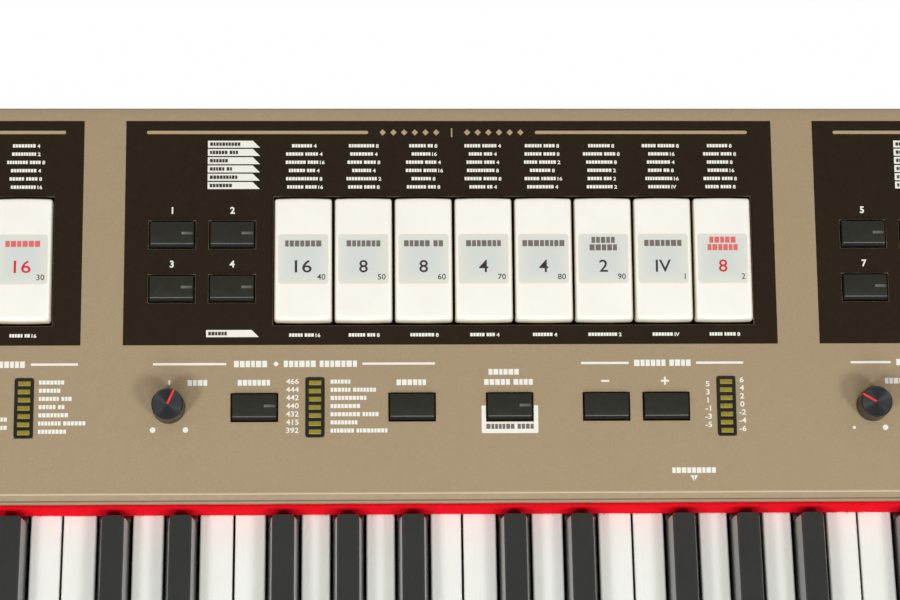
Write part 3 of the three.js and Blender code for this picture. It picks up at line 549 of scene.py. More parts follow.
def makeWhiteKeys(octave):
    # each key: a slab with the playing surface, a body under it and a front skirt behind its lip
    node = f"white_keys_{octave + 1}"
    (_, front, skirtBottom), (_, tail, keyTop) = boxOf(node)
    s = keyStyle
    start = keysLeft + octave * octaveWidth
    keys = s["whites"] + (octave == s["octaves"] - 1)
    under, slabUnder = keyTop - s["thickness"], keyTop - s["topThickness"]
    skirtFront = front + s["frontOverhang"]
    body = Bag()
    for index in range(keys):
        last = index == s["whites"]
        outline = whiteOutline(index % s["whites"], start + octaveWidth * last, front, tail, last)
        body.add(prism(outline, slabUnder, keyTop))
        inner = insetOutline(outline, s["sideInset"])
        inner[:2, 1] = skirtFront
        body.add(prism(inner, under, slabUnder - s["topSeam"]))
        skirt = rectangle(inner[0, 0], inner[1, 0], skirtFront, skirtFront + s["skirt"])
        body.add(prism(skirt, skirtBottom, under + s["skirtOverlap"]))
    side, depth, height = s["strip"]
    strip = rectangle(start + side, start + keys * s["pitch"] - side, tail - depth, tail)
    body.add(prism(strip, under, under + height))
    body.make(node + "_tops", ["white_key_plastic"], "white_key", body=node, replaces=[node],
              bevel=s["edge"])


for octave in range(keyStyle["octaves"]):
    makeWhiteKeys(octave)
print("white keys made")

# Black keys
sharpStyle = {
    "base": 12.8, "top": 9.1, "noseLean": 8.5, "rearLean": 0.3, "rearReach": 2.4, "round": 0.6,
    "rearRound": 0.3, "cornerPlan": 1.5, "foot": 1.2, "railFront": 6, "strip": 5, "railGap": 0.2,
}


def sharpRings(middle, front, rear, under, bedTop, top):
    # rings that rise from the foot, lean in to the narrow top and round over its edge
    s = sharpStyle
    turn = np.radians([0, 30, 60, 90])
    level = np.concatenate([[under, bedTop, bedTop + s["foot"]],
                            top - s["round"] * (1 - np.sin(turn)), [top]])
    share = np.clip((level - bedTop) / (top - bedTop), 0, 1)
    over = np.concatenate([[0, 0, 0], 1 - np.cos(turn), [1.6]])  # how far the edge has rounded in
    half = s["base"] / 2 - share * (s["base"] - s["top"]) / 2 - over * s["round"]
    y0 = front + share ** 1.15 * s["noseLean"] + over * s["round"] * 1.5
    y1 = rear - share * s["rearLean"] - over * s["rearRound"]
    corner = s["cornerPlan"] - over * 0.3
    rings = roundedRings(half, (y1 - y0) / 2, corner, level, (y0 + y1) / 2)
    rings[..., 0] += middle
    return rings


# how much each ring glosses, from the foot up, and each point round it: flanks and rear, but not the nose
glossRings = np.array([1, 1, 1, 1, 1, 0.5, 0, 0])
glossCorners = np.array([0, 0, 0.2, 0.6, 1] + [1] * 10 + [1, 0.6, 0.2, 0, 0])


def makeBlackKeys(octave):
    # each key stands on a rail, and a strip at the rear joins them
    node = f"black_keys_{octave + 1}"
    (_, front, under), (_, tail, top) = boxOf(node)
    bedTop = boxOf(f"white_keys_{octave + 1}")[1][2]
    feltFront = boxOf("key_felt")[0][1]
    s = sharpStyle
    p = nodePoints(node)
    rear = p[p[:, 2] > top - 0.01][:, 1].max() + s["rearReach"]
    half, stripFront = s["base"] / 2, tail - s["strip"]
    sharps = sharpPlaces(keysLeft + octave * octaveWidth)
    body, starts = Bag(), []
    for x in sharps:
        starts.append(body.count)
        body.add(tube(sharpRings(x, front, rear, under, bedTop, top)))
        rail = rectangle(x - half, x + half, feltFront - s["railFront"], stripFront)
        body.add(prism(rail, under + s["railGap"], bedTop - s["railGap"]))
    body.add(prism(rectangle(sharps[0], sharps[-1], stripFront, tail), under, bedTop))
    piece = body.make(node + "_tops", ["black_key_plastic"], "black_key", body=node, replaces=[node],
                      sharp=40)
    # large faces keep their own direction, only the small ones between them are shaded round
    piece.modifiers.new("normals", "WEIGHTED_NORMAL").keep_sharp = True
    gloss = (glossRings[:, None] * glossCorners).ravel()
    values = np.ones(body.count)
    for start in starts:
        values[start:start + len(gloss)] = gloss
    ownValues(piece, "side", values)


for octave in range(keyStyle["octaves"]):
    makeBlackKeys(octave)
print("black keys made")


# Felt strip behind the keys
feltStyle = {
    "stations": 425, "wander": 0.12, "fuzz": 0.05, "round": 0.7, "flare": 1.25, "around": 48,
    "fibres": 2600, "fibreLength": (0.5, 1.3), "fibreThickness": 0.05, "droop": 0.35,
}


def evenly(outline, count):
    # points at even steps along a closed outline
    closed = np.vstack([outline, outline[:1]])
    along = np.concatenate([[0], np.cumsum(np.linalg.norm(np.diff(closed, axis=0), axis=1))])
    at = np.linspace(0, along[-1], count, endpoint=False)
    return np.column_stack([np.interp(at, along, closed[:, i]) for i in range(outline.shape[1])])


def makeFelt():
    # a rounded section carried along x, its face and lower edge wandering a little, like cut felt
    low, high = boxOf("key_felt")
    s = feltStyle
    half = (high[1] - low[1]) / 2
    tall = (high[2] - low[2]) / 2
    section = evenly(roundedRings(half, tall, s["round"], 0, steps=4)[0], s["around"])
    x = np.linspace(low[0], high[0], s["stations"])
    draw = np.random.default_rng(11)
    fine = draw.normal(0, s["fuzz"], (len(x), len(section)))
    slow = s["wander"] * (np.sin(x / 9.1) + np.sin(x / 5.3 + 1.3)) / 2
    inward = np.abs(fine) + (s["wander"] + slow)[:, None] * 0.5
    length = np.hypot(section[:, 0] / half, section[:, 1] / tall)
    y = section[None, :, 0] * (1 - inward / half / length)
    z = section[None, :, 1] * (1 - inward / tall / length)
    # the face leans out towards the keys
    y = y - np.clip(-y / half * 2, 0, 1) * s["flare"] * np.clip(0.5 - z / tall / 2, 0, 1) ** 1.6
    rings = np.stack([np.broadcast_to(x[:, None], y.shape), y + (low[1] + high[1]) / 2,
                      z + (low[2] + high[2]) / 2], -1)
    piece = makePiece("felt_strip", tube(rings), ["red_felt"], "felt", replaces=["key_felt"], smooth=True)
    # loose fibres along the lower edge: thin three-sided spikes that lean out and droop
    count = s["fibres"]
    root = np.column_stack([draw.uniform(low[0] + 1, high[0] - 1, count),
                            low[1] - s["flare"] + draw.uniform(0.1, 0.5, count),
                            low[2] + draw.uniform(0.35, 1.0, count)])
    lean = np.column_stack([draw.normal(0, 0.5, count), -draw.uniform(0.2, 1.0, count),
                            draw.uniform(-0.5, 0.4, count)])
    lean /= np.linalg.norm(lean, axis=1)[:, None]
    reach = draw.uniform(*s["fibreLength"], count)[:, None]
    tip = root + lean * reach
    tip[:, 2] = np.maximum(tip[:, 2], low[2] - s["droop"])
    across = np.cross(lean, [0.0, 0.0, 1.0])
    across /= np.linalg.norm(across, axis=1)[:, None]
    above = np.cross(across, lean)
    corners = [(0.0, 1.0), (0.87, -0.5), (-0.87, -0.5)]
    ring = np.stack([root + s["fibreThickness"] * (across * a + above * b) for a, b in corners], axis=1)
    points = np.concatenate([ring, tip[:, None]], axis=1).reshape(-1, 3)
    four = np.array([(0, 1, 3), (1, 2, 3), (2, 0, 3), (0, 2, 1)])
    faces = (np.arange(count)[:, None, None] * 4 + four).reshape(-1, 3).tolist()
    makePiece("felt_fibres", (points, faces), ["red_felt"], "felt", smooth=True)


makeFelt()
print("felt made")


# Top panel: the bent sheet with soft bends and its openings
sheetStyle = {
    # the reach is how far the worn paint and painted highlight run to either side of the front bend
    "thickness": 2.0, "lipRise": 0.6, "bendForward": 0.4, "wearAndHighlightReach": 0.3, "burr": (0.12, 2, 60),
    "radii": [1.2, 0.9, 0.8, 0.45, 0.2],  # of the corners, from the rear flange to the felt's
    "arcSteps": 6, "across": 60, "up": 40,
}
openingStyle = {
    # half the size across and up, then the slack
    "tablets": (26, 0.6, 1.5), "button": (9.35, 5.6, 0.45), "lights": (3.5, 12.05),
}


def rounded(corners, radii, steps):
    # a path of straight runs joined by arcs: each corner is cut back and swung round
    corners = np.asarray(corners, float)
    out = [corners[:1]]
    for before, corner, after, radius in zip(corners[:-2], corners[1:-1], corners[2:], radii):
        a = (before - corner) / np.linalg.norm(before - corner)
        b = (after - corner) / np.linalg.norm(after - corner)
        half = math.acos(np.clip(a @ b, -1, 1)) / 2
        cut = radius / math.tan(half)
        middle = corner + (a + b) / np.linalg.norm(a + b) * radius / math.sin(half)
        p, q = corner + a * cut - middle, corner + b * cut - middle
        t = np.linspace(0, math.atan2(p[0] * q[1] - p[1] * q[0], p @ q), steps)[:, None]
        out.append(middle + np.cos(t) * p + np.sin(t) * np.array([-p[1], p[0]]))
    out.append(corners[-1:])
    return np.vstack(out)


def controlOpenings():
    # every opening in the panel, as name, x0, x1, v0, v1, from the controls and their slack
    s = openingStyle
    found = []
    half, slackX, slackV = s["tablets"]
    for first, last in (("tablet_10", "tablet_30"), ("tablet_40", "tablet_2"), ("tablet_3", "tablet_9")):
        found.append(("tablets", boxOf(first)[0][0] - slackX, boxOf(last)[1][0] + slackX,
                      tabletRow - half - slackV, tabletRow + half + slackV))
    halfX, halfV, slack = s["button"]
    for node, (x, v) in buttonPlaces.items():
        found.append((node, x - halfX - slack, x + halfX + slack, v - halfV - slack, v + halfV + slack))
    halfX, halfV = s["lights"]
    for x in lightBarX:
        found.append(("lights", x - halfX, x + halfX, controlRow - halfV, controlRow + halfV))
    return found


tabletNumbers = [*range(10, 100, 10), *range(1, 10)]
buttonNames = [f"voice_button_{n}" for n in range(1, 9)] + [
    "temperament_button", "scale_button", "enhancer_button", "transpose_down_button",
    "transpose_up_button"]
knobNames = ["tuning_knob", "depth_knob"]
lightBarX = [-273.9, -154.6, 15.5]
tabletRow = np.array(joints["tablet_10_rock"]["pos_m"]) / mm @ upSlope - bendLine
controlRow = np.array(joints["tuning_knob_turn"]["pos_m"]) / mm @ upSlope - bendLine


def buttonCentre(node):
    # from the rear edge of its cap, the part above the panel
    p = nodePoints(node)
    rear = (p[p @ outOfPanel > panelFace + 1.5] @ upSlope).max() - bendLine
    return (p[:, 0].min() + p[:, 0].max()) / 2, rear - openingStyle["button"][1]


buttonPlaces = {node: buttonCentre(node) for node in buttonNames}
openings = controlOpenings()


def sheetWithHoles(xs, path, heights, holes=()):
    # a grid over x and the path, without the cells whose middle lies in a hole
    grid = np.stack(np.broadcast_arrays(xs[:, None], path[None, :, 0], path[None, :, 1]), -1)
    midX = (xs[1:] + xs[:-1]) / 2
    midS = (heights[1:] + heights[:-1]) / 2
    cut = np.zeros((len(midX), len(midS)), bool)
    for x0, x1, v0, v1 in holes:
        cut |= ((midX > x0) & (midX < x1))[:, None] & ((midS > v0) & (midS < v1))[None, :]
    i, j = np.nonzero(~cut)
    width = len(path)
    quads = np.stack([i * width + j, (i + 1) * width + j, (i + 1) * width + j + 1, i * width + j + 1], -1)
    used = np.unique(quads)
    lookup = np.zeros(grid.shape[0] * width, int)
    lookup[used] = np.arange(len(used))
    return grid.reshape(-1, 3)[used], lookup[quads].tolist()


def stations(*values):
    # all the values in order, each once
    return np.array(sorted(set(np.round(np.concatenate(values), 4))))


def makeTopPanel():
    low, high = boxOf("top_panel")
    s = sheetStyle
    p = panelPoints
    flange = p[p[:, 2] < low[2] + 0.01][:, 1].min()
    lipPoints = p[np.abs(p[:, 1] - low[1]) < 0.01]
    lipTop, lipUnder = lipPoints[:, 2].max(), lipPoints[:, 2].min() + s["lipRise"]
    bend = ((bendLine - s["bendForward"]) * upSlope + panelFace * outOfPanel)[1:]
    rear = ((bendLine + panelLength) * upSlope + panelFace * outOfPanel)[1:]
    rearFlange = p[p[:, 1] > high[1] - 0.01][:, 2].min()
    corners = [(flange, low[2]), (flange, lipUnder), (low[1], lipUnder), (low[1], lipTop), bend, rear,
               (high[1], rearFlange)]
    steps = s["arcSteps"]
    path = rounded(corners[::-1], s["radii"], steps)[::-1]
    # one more point just before the bend, so that its worn paint and painted highlight end there
    start = 1 + 3 * steps
    back = path[start - 1] - path[start]
    path = np.insert(path, start, path[start] + back / np.linalg.norm(back) * s["wearAndHighlightReach"], axis=0)
    v = (path[:, 0] * upSlope[1] + path[:, 1] * upSlope[2]) - bendLine
    flatStart, flatEnd = start + steps, start + steps + 1
    rows = stations([c for o in openings for c in o[3:]], [v[flatStart] + s["wearAndHighlightReach"]],
                    np.linspace(v[flatStart], v[flatEnd], s["up"]))
    rows = rows[(rows > v[flatStart] + 0.01) & (rows < v[flatEnd] - 0.01)]
    flat = deckPlace(np.column_stack([rows * 0, rows, rows * 0]))[:, 1:]
    path = np.vstack([path[:flatStart + 1], flat, path[flatEnd:]])
    # off the flat face the heights are moved far away, where no hole reaches
    heights = np.concatenate([v[:flatStart + 1] - 1e3 * (np.arange(flatStart + 1) < flatStart), rows,
                              v[flatEnd:] + 1e3 * (np.arange(len(v) - flatEnd) > 0)])
    xs = stations([c for o in openings for c in o[1:3]], np.linspace(low[0], high[0], s["across"]))
    points, faces = sheetWithHoles(xs, path, heights, [o[1:] for o in openings])
    piece = makePiece("top_panel_sheet", (points, faces), ["tan_metallic_paint", "raw_edge"],
                      "panel_paint", replaces=["top_panel"], smooth=True)
    away = np.linalg.norm(points[:, 1:] - bend, axis=1)
    # values the material reads: 2 for the worn paint and painted highlight along the bend, -1 for the painted
    # shade on the lip
    ownValues(piece, "bend", (away < s["wearAndHighlightReach"]) * 2.0 - (points[:, 1] < bend[0]))
    addWall(piece, s["thickness"], rimMaterial=1)
    addBevel(piece, *s["burr"])


makeTopPanel()
print("panel made")

# Printed fields, lines and marks
printStyle = {
    "bottom": -0.02, "fieldTop": 0.03, "markTop": 0.055, "overprint": 0.02, "holeMargin": 0.09,
    "fieldV": (61.35, 157.2), "fieldX": [(-375.0, -251.3), (-233.9, 37.7), (55.2, 302.6)],
    # lines of titles and headings: left end, gap from, gap to, right end
    "titleRow": 152.2, "titles": [(-367.1, -335.0, -291.0, -259.0), (-225.2, -132.4, -62.2, 27.6),
                                  (64.0, 147.0, 211.0, 293.8)],
    "headingRow": 53.4, "headings": [(-329.0, -309.5, -271.4, -252.1), (-221.3, -191.2, -135.1, -105.1),
                                     (-44.5, -24.7, 3.3, 23.0), (67.8, 84.6, 111.2, 128.0)],
    "labelRows": [146.4 - 3.56 * i for i in range(6)] + [65.5],
    "flagRows": [147.1 - 3.57 * i for i in range(6)] + [66.2],
    "flagLeft": 40.1, "flagLength": 21.8, "flagPoint": 3.0, "flagHalf": 1.5,
    "signRise": 10.65, "lightPitch": 3.4, "tunings": ["466", "444", "442", "440", "432", "415", "392"],
    "barWords": [(10.3, 9.5, 14.5, 11.2, 12.4, 19.4, 11.6), (8.5, 19.4, 14.9, 11.7, 19.6, 12.0, 24.0)],
    "plate": (11.7, 0.5, 11.0),  # half width, corner and depth below the button's middle
}


def makeFields():
    # thin printed areas that stop a little short of each opening, so that the raw edge shows
    s = printStyle
    m = s["holeMargin"]
    bag = Bag()
    for x0, x1 in s["fieldX"]:
        holes = [(o[1] - m, o[2] + m, o[3] - m, o[4] + m) for o in openings if x0 < o[1] < x1 and o[3] > 61]
        xs = np.array(sorted({x0, x1, *[c for h in holes for c in h[:2]]}))
        vs = np.array(sorted({*s["fieldV"], *[c for h in holes for c in h[2:]]}))
        path = np.column_stack([vs, np.full(len(vs), s["fieldTop"])])
        bag.add(onDeck(sheetWithHoles(xs, path, vs, holes)))
    piece = bag.make("printed_fields", ["dark_field_print"], "case_paint")
    addWall(piece, s["fieldTop"] - s["bottom"])


makeFields()


def bar(x0, x1, v, thickness):
    return rectangle(x0, x1, v - thickness / 2, v + thickness / 2)


def capsule(x0, x1, v, thickness):
    # a line with half-circle ends
    r = thickness / 2
    return np.vstack([arc((x1 - r, v), r, -90, 90, 7), arc((x0 + r, v), r, 90, 270, 7)])


def diamond(x, v, half):
    return [(x, v - half), (x + half, v), (x, v + half), (x - half, v)]


def disc(x, v, radius):
    return arc((x, v), radius, 0, 345, 24)


def leftOf(x, width, align):
    return {"centre": x - width / 2, "left": x, "right": x - width}[align]


glyphs = {}


def glyph(text, weight=0.0):
    # plain numbers as thin solids of the font's own size: points and faces
    key = (text, weight)
    if key not in glyphs:
        curve = bpy.data.curves.new("figure", "FONT")
        curve.body = text
        curve.align_x = "LEFT"
        curve.offset = weight
        curve.resolution_u = 3
        curve.fill_mode = "BOTH"
        curve.extrude = 0.01
        figure = bpy.data.objects.new("figure", curve)
        bpy.context.scene.collection.objects.link(figure)
        bpy.context.view_layer.update()
        mesh = bpy.data.meshes.new_from_object(figure.evaluated_get(bpy.context.evaluated_depsgraph_get()))
        points = np.zeros(len(mesh.vertices) * 3)
        mesh.vertices.foreach_get("co", points)
        faces = [list(face.vertices) for face in mesh.polygons]
        bpy.data.meshes.remove(mesh)
        bpy.data.objects.remove(figure)
        bpy.data.curves.remove(curve)
        glyphs[key] = points.reshape(-1, 3), faces
    return glyphs[key]


class Print(Bag):
    # flat marks on the panel or a label, all from one height to another
    def __init__(self, low, high, draw):
        super().__init__()
        self.low, self.high, self.draw = low, high, draw

    def flat(self, *outlines, material=0):
        for outline in outlines:
            self.add(onDeck(prism(outline, self.low, self.high)), material)

    def words(self, x, v, height, width, align="centre", material=0):
        # a row of small blocks in groups, in the place of small words; gives back its right end
        blocks, cursor, run = [], 0.0, 0
        while cursor < width:
            step = height * self.draw.uniform(0.55, 0.85)
            blocks.append((cursor, cursor + step))
            cursor += step + height * 0.16
            run += 1
            if run > self.draw.integers(4, 8) and cursor < width * 0.75:
                cursor += height * 0.45
                run = 0
        end = blocks[-1][1]
        left = leftOf(x, end, align)
        self.flat(*[bar(left + a, left + b, v, height) for a, b in blocks], material=material)
        return left + end

    def figure(self, text, x, v, height, align="centre", weight=0.0, squeeze=1.0, material=0):
        # plain figures, as high as asked for by the figure 8 of the same weight
        points, faces = glyph(text, weight)
        p = points * height / np.ptp(glyph("8", weight)[0][:, 1])
        p[:, 0] *= squeeze
        p[:, 0] += leftOf(x, np.ptp(p[:, 0]), align) - p[:, 0].min()
        p[:, 1] += v - height / 2
        p[:, 2] = np.where(points[:, 2] > 0, self.high, self.low)
        self.add(onDeck((p, faces)), material)


tabletX = {n: (boxOf(f"tablet_{n}")[0][0] + boxOf(f"tablet_{n}")[1][0]) / 2 for n in tabletNumbers}
footage = dict(zip(tabletNumbers, "16 8 16 16 8 8 4 4 2 IV 8 8 8 4 4 2 IV 8".split()))


def makePrint():
    s = printStyle
    draw = np.random.default_rng(5)
    white, tan = (Print(s["bottom"], s["markTop"], draw) for _ in range(2))
    dark = Print(s["bottom"], s["markTop"] + s["overprint"], draw)

    # tan title lines in the dark fields, with diamonds and a plain figure between them
    row = s["titleRow"]
    for index, (left, lineEnd, lineStart, right) in enumerate(s["titles"]):
        tan.flat(capsule(left, lineEnd, row, 1.4), capsule(lineStart, right, row, 1.4))
        middle = (lineEnd + lineStart) / 2
        tan.figure(str(index), middle, row, 3.9, weight=0.01, squeeze=0.9)
        for x in np.arange(6.5, (lineStart - lineEnd) / 2 - 3, 4.5):
            tan.flat(diamond(middle - x, row, 1.35), diamond(middle + x, row, 1.35))
    # six label rows above each tablet and one below: blocks and a number, the stop's own in the last two
    for number in tabletNumbers:
        for row, v in enumerate(s["labelRows"]):
            end = white.words(tabletX[number] - 0.7, v, 1.4, draw.uniform(7.5, 13.5))
            white.figure(footage[number] if row in (5, 6) else draw.choice(["8", "16", "4", "2"]),
                         end + 0.7, v, 1.6, "left", weight=0.03, squeeze=1.15)
    # the pointed flags beside them, with dark blocks in place of words
    half = s["flagHalf"]
    for firstTablet in (10, 40, 3):
        left = tabletX[firstTablet] - s["flagLeft"]
        right = left + s["flagLength"]
        for v in s["flagRows"]:
            white.flat([(left, v - half), (right, v - half), (right - s["flagPoint"], v + half),
                        (left, v + half)])
            dark.words(left + 0.9, v, 1.5, draw.uniform(7, 13), "left")
    # plain figures over the voice buttons
    for n in range(1, 9):
        x, v = buttonPlaces[f"voice_button_{n}"]
        white.figure(str(n), x, v + 10.6, 3.0, weight=0.03)
    # headings of the lower groups
    row = s["headingRow"]
    for index, (left, lineEnd, lineStart, right) in enumerate(s["headings"]):
        white.flat(bar(left, lineEnd, row, 0.95), bar(lineStart, right, row, 0.95))
        words = [((lineEnd + lineStart) / 2, lineStart - lineEnd - 6.4)]
        if index == 1:
            white.flat(diamond(lineEnd + 20.5, row, 1.2))
            words = [(lineEnd + 10.0, 13.8), (lineEnd + 38.8, 28.6)]
        for x, width in words:
            white.words(x, row, 2.7, width)
    # blocks over the lower buttons and beside the knobs
    tuneX, depthX = (deckCentre(node)[0] for node in knobNames)
    temperX, scaleX, enhancerX = (buttonPlaces[node][0] for node in buttonNames[8:11])
    v = buttonPlaces["scale_button"][1] + 10.35
    for x, level, width in ((temperX - 0.25, v, 13.4), (scaleX - 0.3, v, 11.2), (enhancerX - 0.4, v, 20.2),
                            (enhancerX - 2.35, v + 4.25, 12.4), (tuneX + 11.5, v, 7.5),
                            (depthX + 11.8, v, 12.0)):
        white.words(x, level, 2.4, width)
    # minus and plus over the transposer: a stroke each, and the plus's two stems
    for node in ("transpose_down_button", "transpose_up_button"):
        x, v = buttonPlaces[node]
        v += s["signRise"]
        white.flat(bar(x - 2.0, x + 1.4, v, 0.8))
    white.flat(*[bar(x - 0.7, x + 0.1, v + 1.05 * side, 1.3) for side in (-1, 1)])
    # tick and dots round the knobs
    white.flat(bar(tuneX - 0.4, tuneX + 0.4, controlRow + 10.5, 1.8))
    for x, radius in ((tuneX - 6.6, 1.15), (tuneX + 6.8, 1.15), (depthX - 7.8, 0.65), (depthX + 5.2, 1.15)):
        white.flat(disc(x, controlRow - 9.2, radius))
    # numbers and blocks beside the light bars
    pitch = s["lightPitch"]
    for row in range(7):
        v = controlRow + (3 - row) * pitch
        white.figure(s["tunings"][row], lightBarX[1] - 9.3, v + 0.75, 2.25, weight=0.018, squeeze=1.16)
        for index, reach in ((0, 6.0), (1, 6.4)):
            white.words(lightBarX[index] + reach, v + 0.5, 1.7, s["barWords"][index][row] - 0.8, "left")
        white.figure(str(6 - 2 * row), lightBarX[2] + 6.6, v + 0.9, 2.3, weight=0.02, squeeze=1.2)
        if row < 6:
            white.figure(str(5 - 2 * row), lightBarX[2] - 7.6, v + 0.9 - pitch / 2, 2.3, weight=0.02,
                         squeeze=1.2)
    for row in (5, 6):
        white.words(lightBarX[0] - 6.8, controlRow + (3.5 - row) * pitch + 0.5, 1.7, 6.0, "right")
    # white plate round the foot of the enhancer button: two cheeks, and a lower part with round corners
    x, v = buttonPlaces["enhancer_button"]
    x0, x1, v0 = next(o[1:4] for o in openings if o[0] == "enhancer_button")
    half, r, depth = s["plate"]
    top, bottom = v0 - 0.3, v - depth
    white.flat(rectangle(x - half, x0 - 0.1, top, v + 0.5), rectangle(x1 + 0.1, x + half, top, v + 0.5),
               np.vstack([arc((x - half + r, bottom + r), r, 180, 270, 5),
                          arc((x + half - r, bottom + r), r, 270, 360, 5), [(x + half, top), (x - half, top)]]))
    dark.words(x, v - 8.2, 2.1, 19.6, material=1)
    # split mark: a small triangle in two halves under a row of blocks
    white.words(1.3, 8.5, 2.3, 17.0)
    white.flat([(-0.25, 6.4), (1.15, 4.0), (1.15, 6.4)], [(1.45, 4.0), (2.85, 6.4), (1.45, 6.4)])
    white.make("white_markings", ["white_print"], "panel_paint")
    tan.make("tan_markings", ["tan_print"], "panel_paint")
    dark.make("dark_markings", ["dark_ink", "thin_ink"], "panel_paint")


makePrint()
print("printing made")


# Tablets
tabletStyle = {
    "halfX": 23.85 / 2, "halfY": 26.0, "bottom": -3.0, "edge": 0.8, "corner": 1.1, "chamfer": 0.7,
    "frontBevel": 0.8, "frontDrop": 0.85, "frontDepth": 0.35, "bow": 0.25, "axleDepth": -5.5,
    "axle": [(1.2, -9), (1.5, -8.7), (1.5, 8.7), (1.2, 9)], "web": (9.0, 1.0, 0.3),
    "labelHalfX": 10.5, "labelHalfY": 10.6, "labelCorner": 1.4, "labelShift": 0.14, "labelLift": 0.02,
    "labelInsets": [0.35, 0.35, 2.2, 5.0, 8.0], "ink": (0.01, 0.035),
    "red": (30, 2, 9), "twoRows": (90, 2, 20),
}


def tabletRings(halfX, halfY, top, bottom):
    # rear corners are arcs, front corners cut at 45 degrees; sides and rear roll over, the front is bevelled
    s = tabletStyle
    turn = np.radians([0, 30, 60, 90])
    inset = np.concatenate([[0], s["edge"] * (1 - np.cos(turn)), [2.2, 5.0]])
    level = np.concatenate([[bottom], top - s["edge"] * (1 - np.sin(turn)), [top, top]])
    front = np.array([0, 0, 0.06, 0.3, s["frontBevel"], 2.4, 6.0])
    drop = np.array([0, s["frontDrop"] - s["edge"], 0.25, 0.3, 0.04, 0, 0])
    radius = np.maximum(s["corner"] - inset * 0.5, 0.5)
    angle = np.linspace(0, math.pi / 2, 5)
    x, y0, y1, c = halfX - inset, front - halfY, halfY - inset, s["chamfer"]
    right = (x - radius)[:, None] + radius[:, None] * np.cos(angle)
    rear = (y1 - radius)[:, None] + radius[:, None] * np.sin(angle)
    # both ends bow out a little: their middles lie further out by a share of a parabola
    across = np.linspace(1, -1, 9)[1:-1]
    bow = s["bow"] * (1 - across ** 2)
    inner = (x - s["corner"])[:, None] * across
    column = np.column_stack
    px = np.hstack([column([x - c, x]), right, inner, -right[:, ::-1], column([-x, c - x]), -inner])
    py = np.hstack([column([y0, y0 + c]), rear, y1[:, None] + bow, rear[:, ::-1], column([y0 + c, y0]),
                    y0[:, None] - bow])
    pz = np.repeat(level[:, None], px.shape[1], axis=1)
    pz[:, -8:] -= drop[:, None]
    pz[:, 0] -= drop
    pz[:, [1, -9]] -= drop[:, None] * 0.5
    return np.stack([px, py, pz], -1)


def makeTablet(number):
    node = f"tablet_{number}"
    x = tabletX[number]
    top = (nodePoints(node) @ outOfPanel).max() - panelFace
    s = tabletStyle
    bottom, axleDepth = s["bottom"], s["axleDepth"]
    rings = tabletRings(s["halfX"], s["halfY"], top, bottom) + (x, tabletRow, 0)
    # how deep each point lies under the top, for the painted beige shade and the deeper painted amber glow; the
    # front wall gets the beige shade only
    depth = np.clip((top - rings[..., 2]) / (top - bottom), 0, 1)
    depth[0, :2] = depth[0, -9:] = s["frontDepth"]  # the front wall stays beige
    # the cap, with web and axle below, in their groove
    bag = Bag()
    bag.add(onDeck(tube(rings)))
    bag.add(onDeck(tube(roundedRings(*s["web"], [axleDepth, bottom + 0.2]) + (x, tabletRow, 0))))
    bag.add(onDeck(tube(carried(lathe(s["axle"], 16), "x") + (x, tabletRow, axleDepth))))
    piece = bag.make(node + "_cap", ["tablet_plastic"], "tablet", body=node, replaces=[node], sharp=50)
    values = np.ones(bag.count)
    values[:depth.size] = depth.ravel()
    ownValues(piece, "depth", values)

    # label window with its edge, number and small number
    centre = (x, tabletRow + s["labelShift"], 0)
    lift = top + s["labelLift"]
    halfX, halfY, corner = s["labelHalfX"], s["labelHalfY"], s["labelCorner"]
    label = Print(lift + s["ink"][0], lift + s["ink"][1], np.random.default_rng(number + 200))
    label.add(onDeck(tube(roundedRings([halfX] * 2, [halfY] * 2, corner, [top - 0.05, lift]) + centre)), 1)
    inset = np.array(s["labelInsets"])
    inner = roundedRings(halfX - inset, halfY - inset, np.maximum(corner - inset, 0.5),
                         lift + 0.02 * np.array([-1, 1, 1, 1, 1])) + centre
    start = label.count
    label.add(onDeck(tube(inner)))
    edge = np.repeat(1 - np.clip(inset / inset[-1], 0, 1), inner.shape[1])
    ink = 3 if number in s["red"] else 2
    label.figure(footage[number], x, tabletRow - 2.85, 5.3, weight=0.008,
                 squeeze=1.22 if footage[number] == "16" else 1.08, material=ink)
    label.figure(str(number), x + halfX - 1.3, tabletRow - 7.4, 2.4, "right", weight=0.008, squeeze=1.05,
                 material=2)
    rows = [8.1, 4.9] if number in s["twoRows"] else [6.75]
    for row in rows:
        label.words(x, tabletRow + row, 2.6, label.draw.uniform(13.0, 16.0) / len(rows) ** 0.5,
                    material=ink + 2)
    piece = label.make(node + "_label", ["label_window", "label_edge", "dark_ink", "red_ink", "thin_ink",
                                         "thin_red_ink"], "tablet", body=node)
    values = np.zeros(label.count)
    values[start:start + len(edge)] = edge
    ownValues(piece, "edge", values)


for number in tabletNumbers:
    makeTablet(number)
print("tablets made")

# Push buttons
buttonStyle = {
    "halfX": 9.35, "topHalfX": 9.0, "halfY": 5.6, "top": 1.6, "low": -3.2, "edge": (0.5, 3),
    # the narrow line between the top and the front bevel is painted lighter as a highlight; its width and drop
    # are given here
    "frontBevel": 1.4, "rearBevel": (0.45, 1.1), "highlightLine": 0.36, "highlightDrop": 0.12,
    "flange": (1.65, 0.8, [-3.6, -2.4]), "stem": (2.0, 2.0, 0.5, [-7.2, -3.5]),
    "slit": (4.7, 1.1), "slitInset": 0.7, "slitShift": 0.4,
    "unlit": ("scale_button", "transpose_down_button", "transpose_up_button"),
}


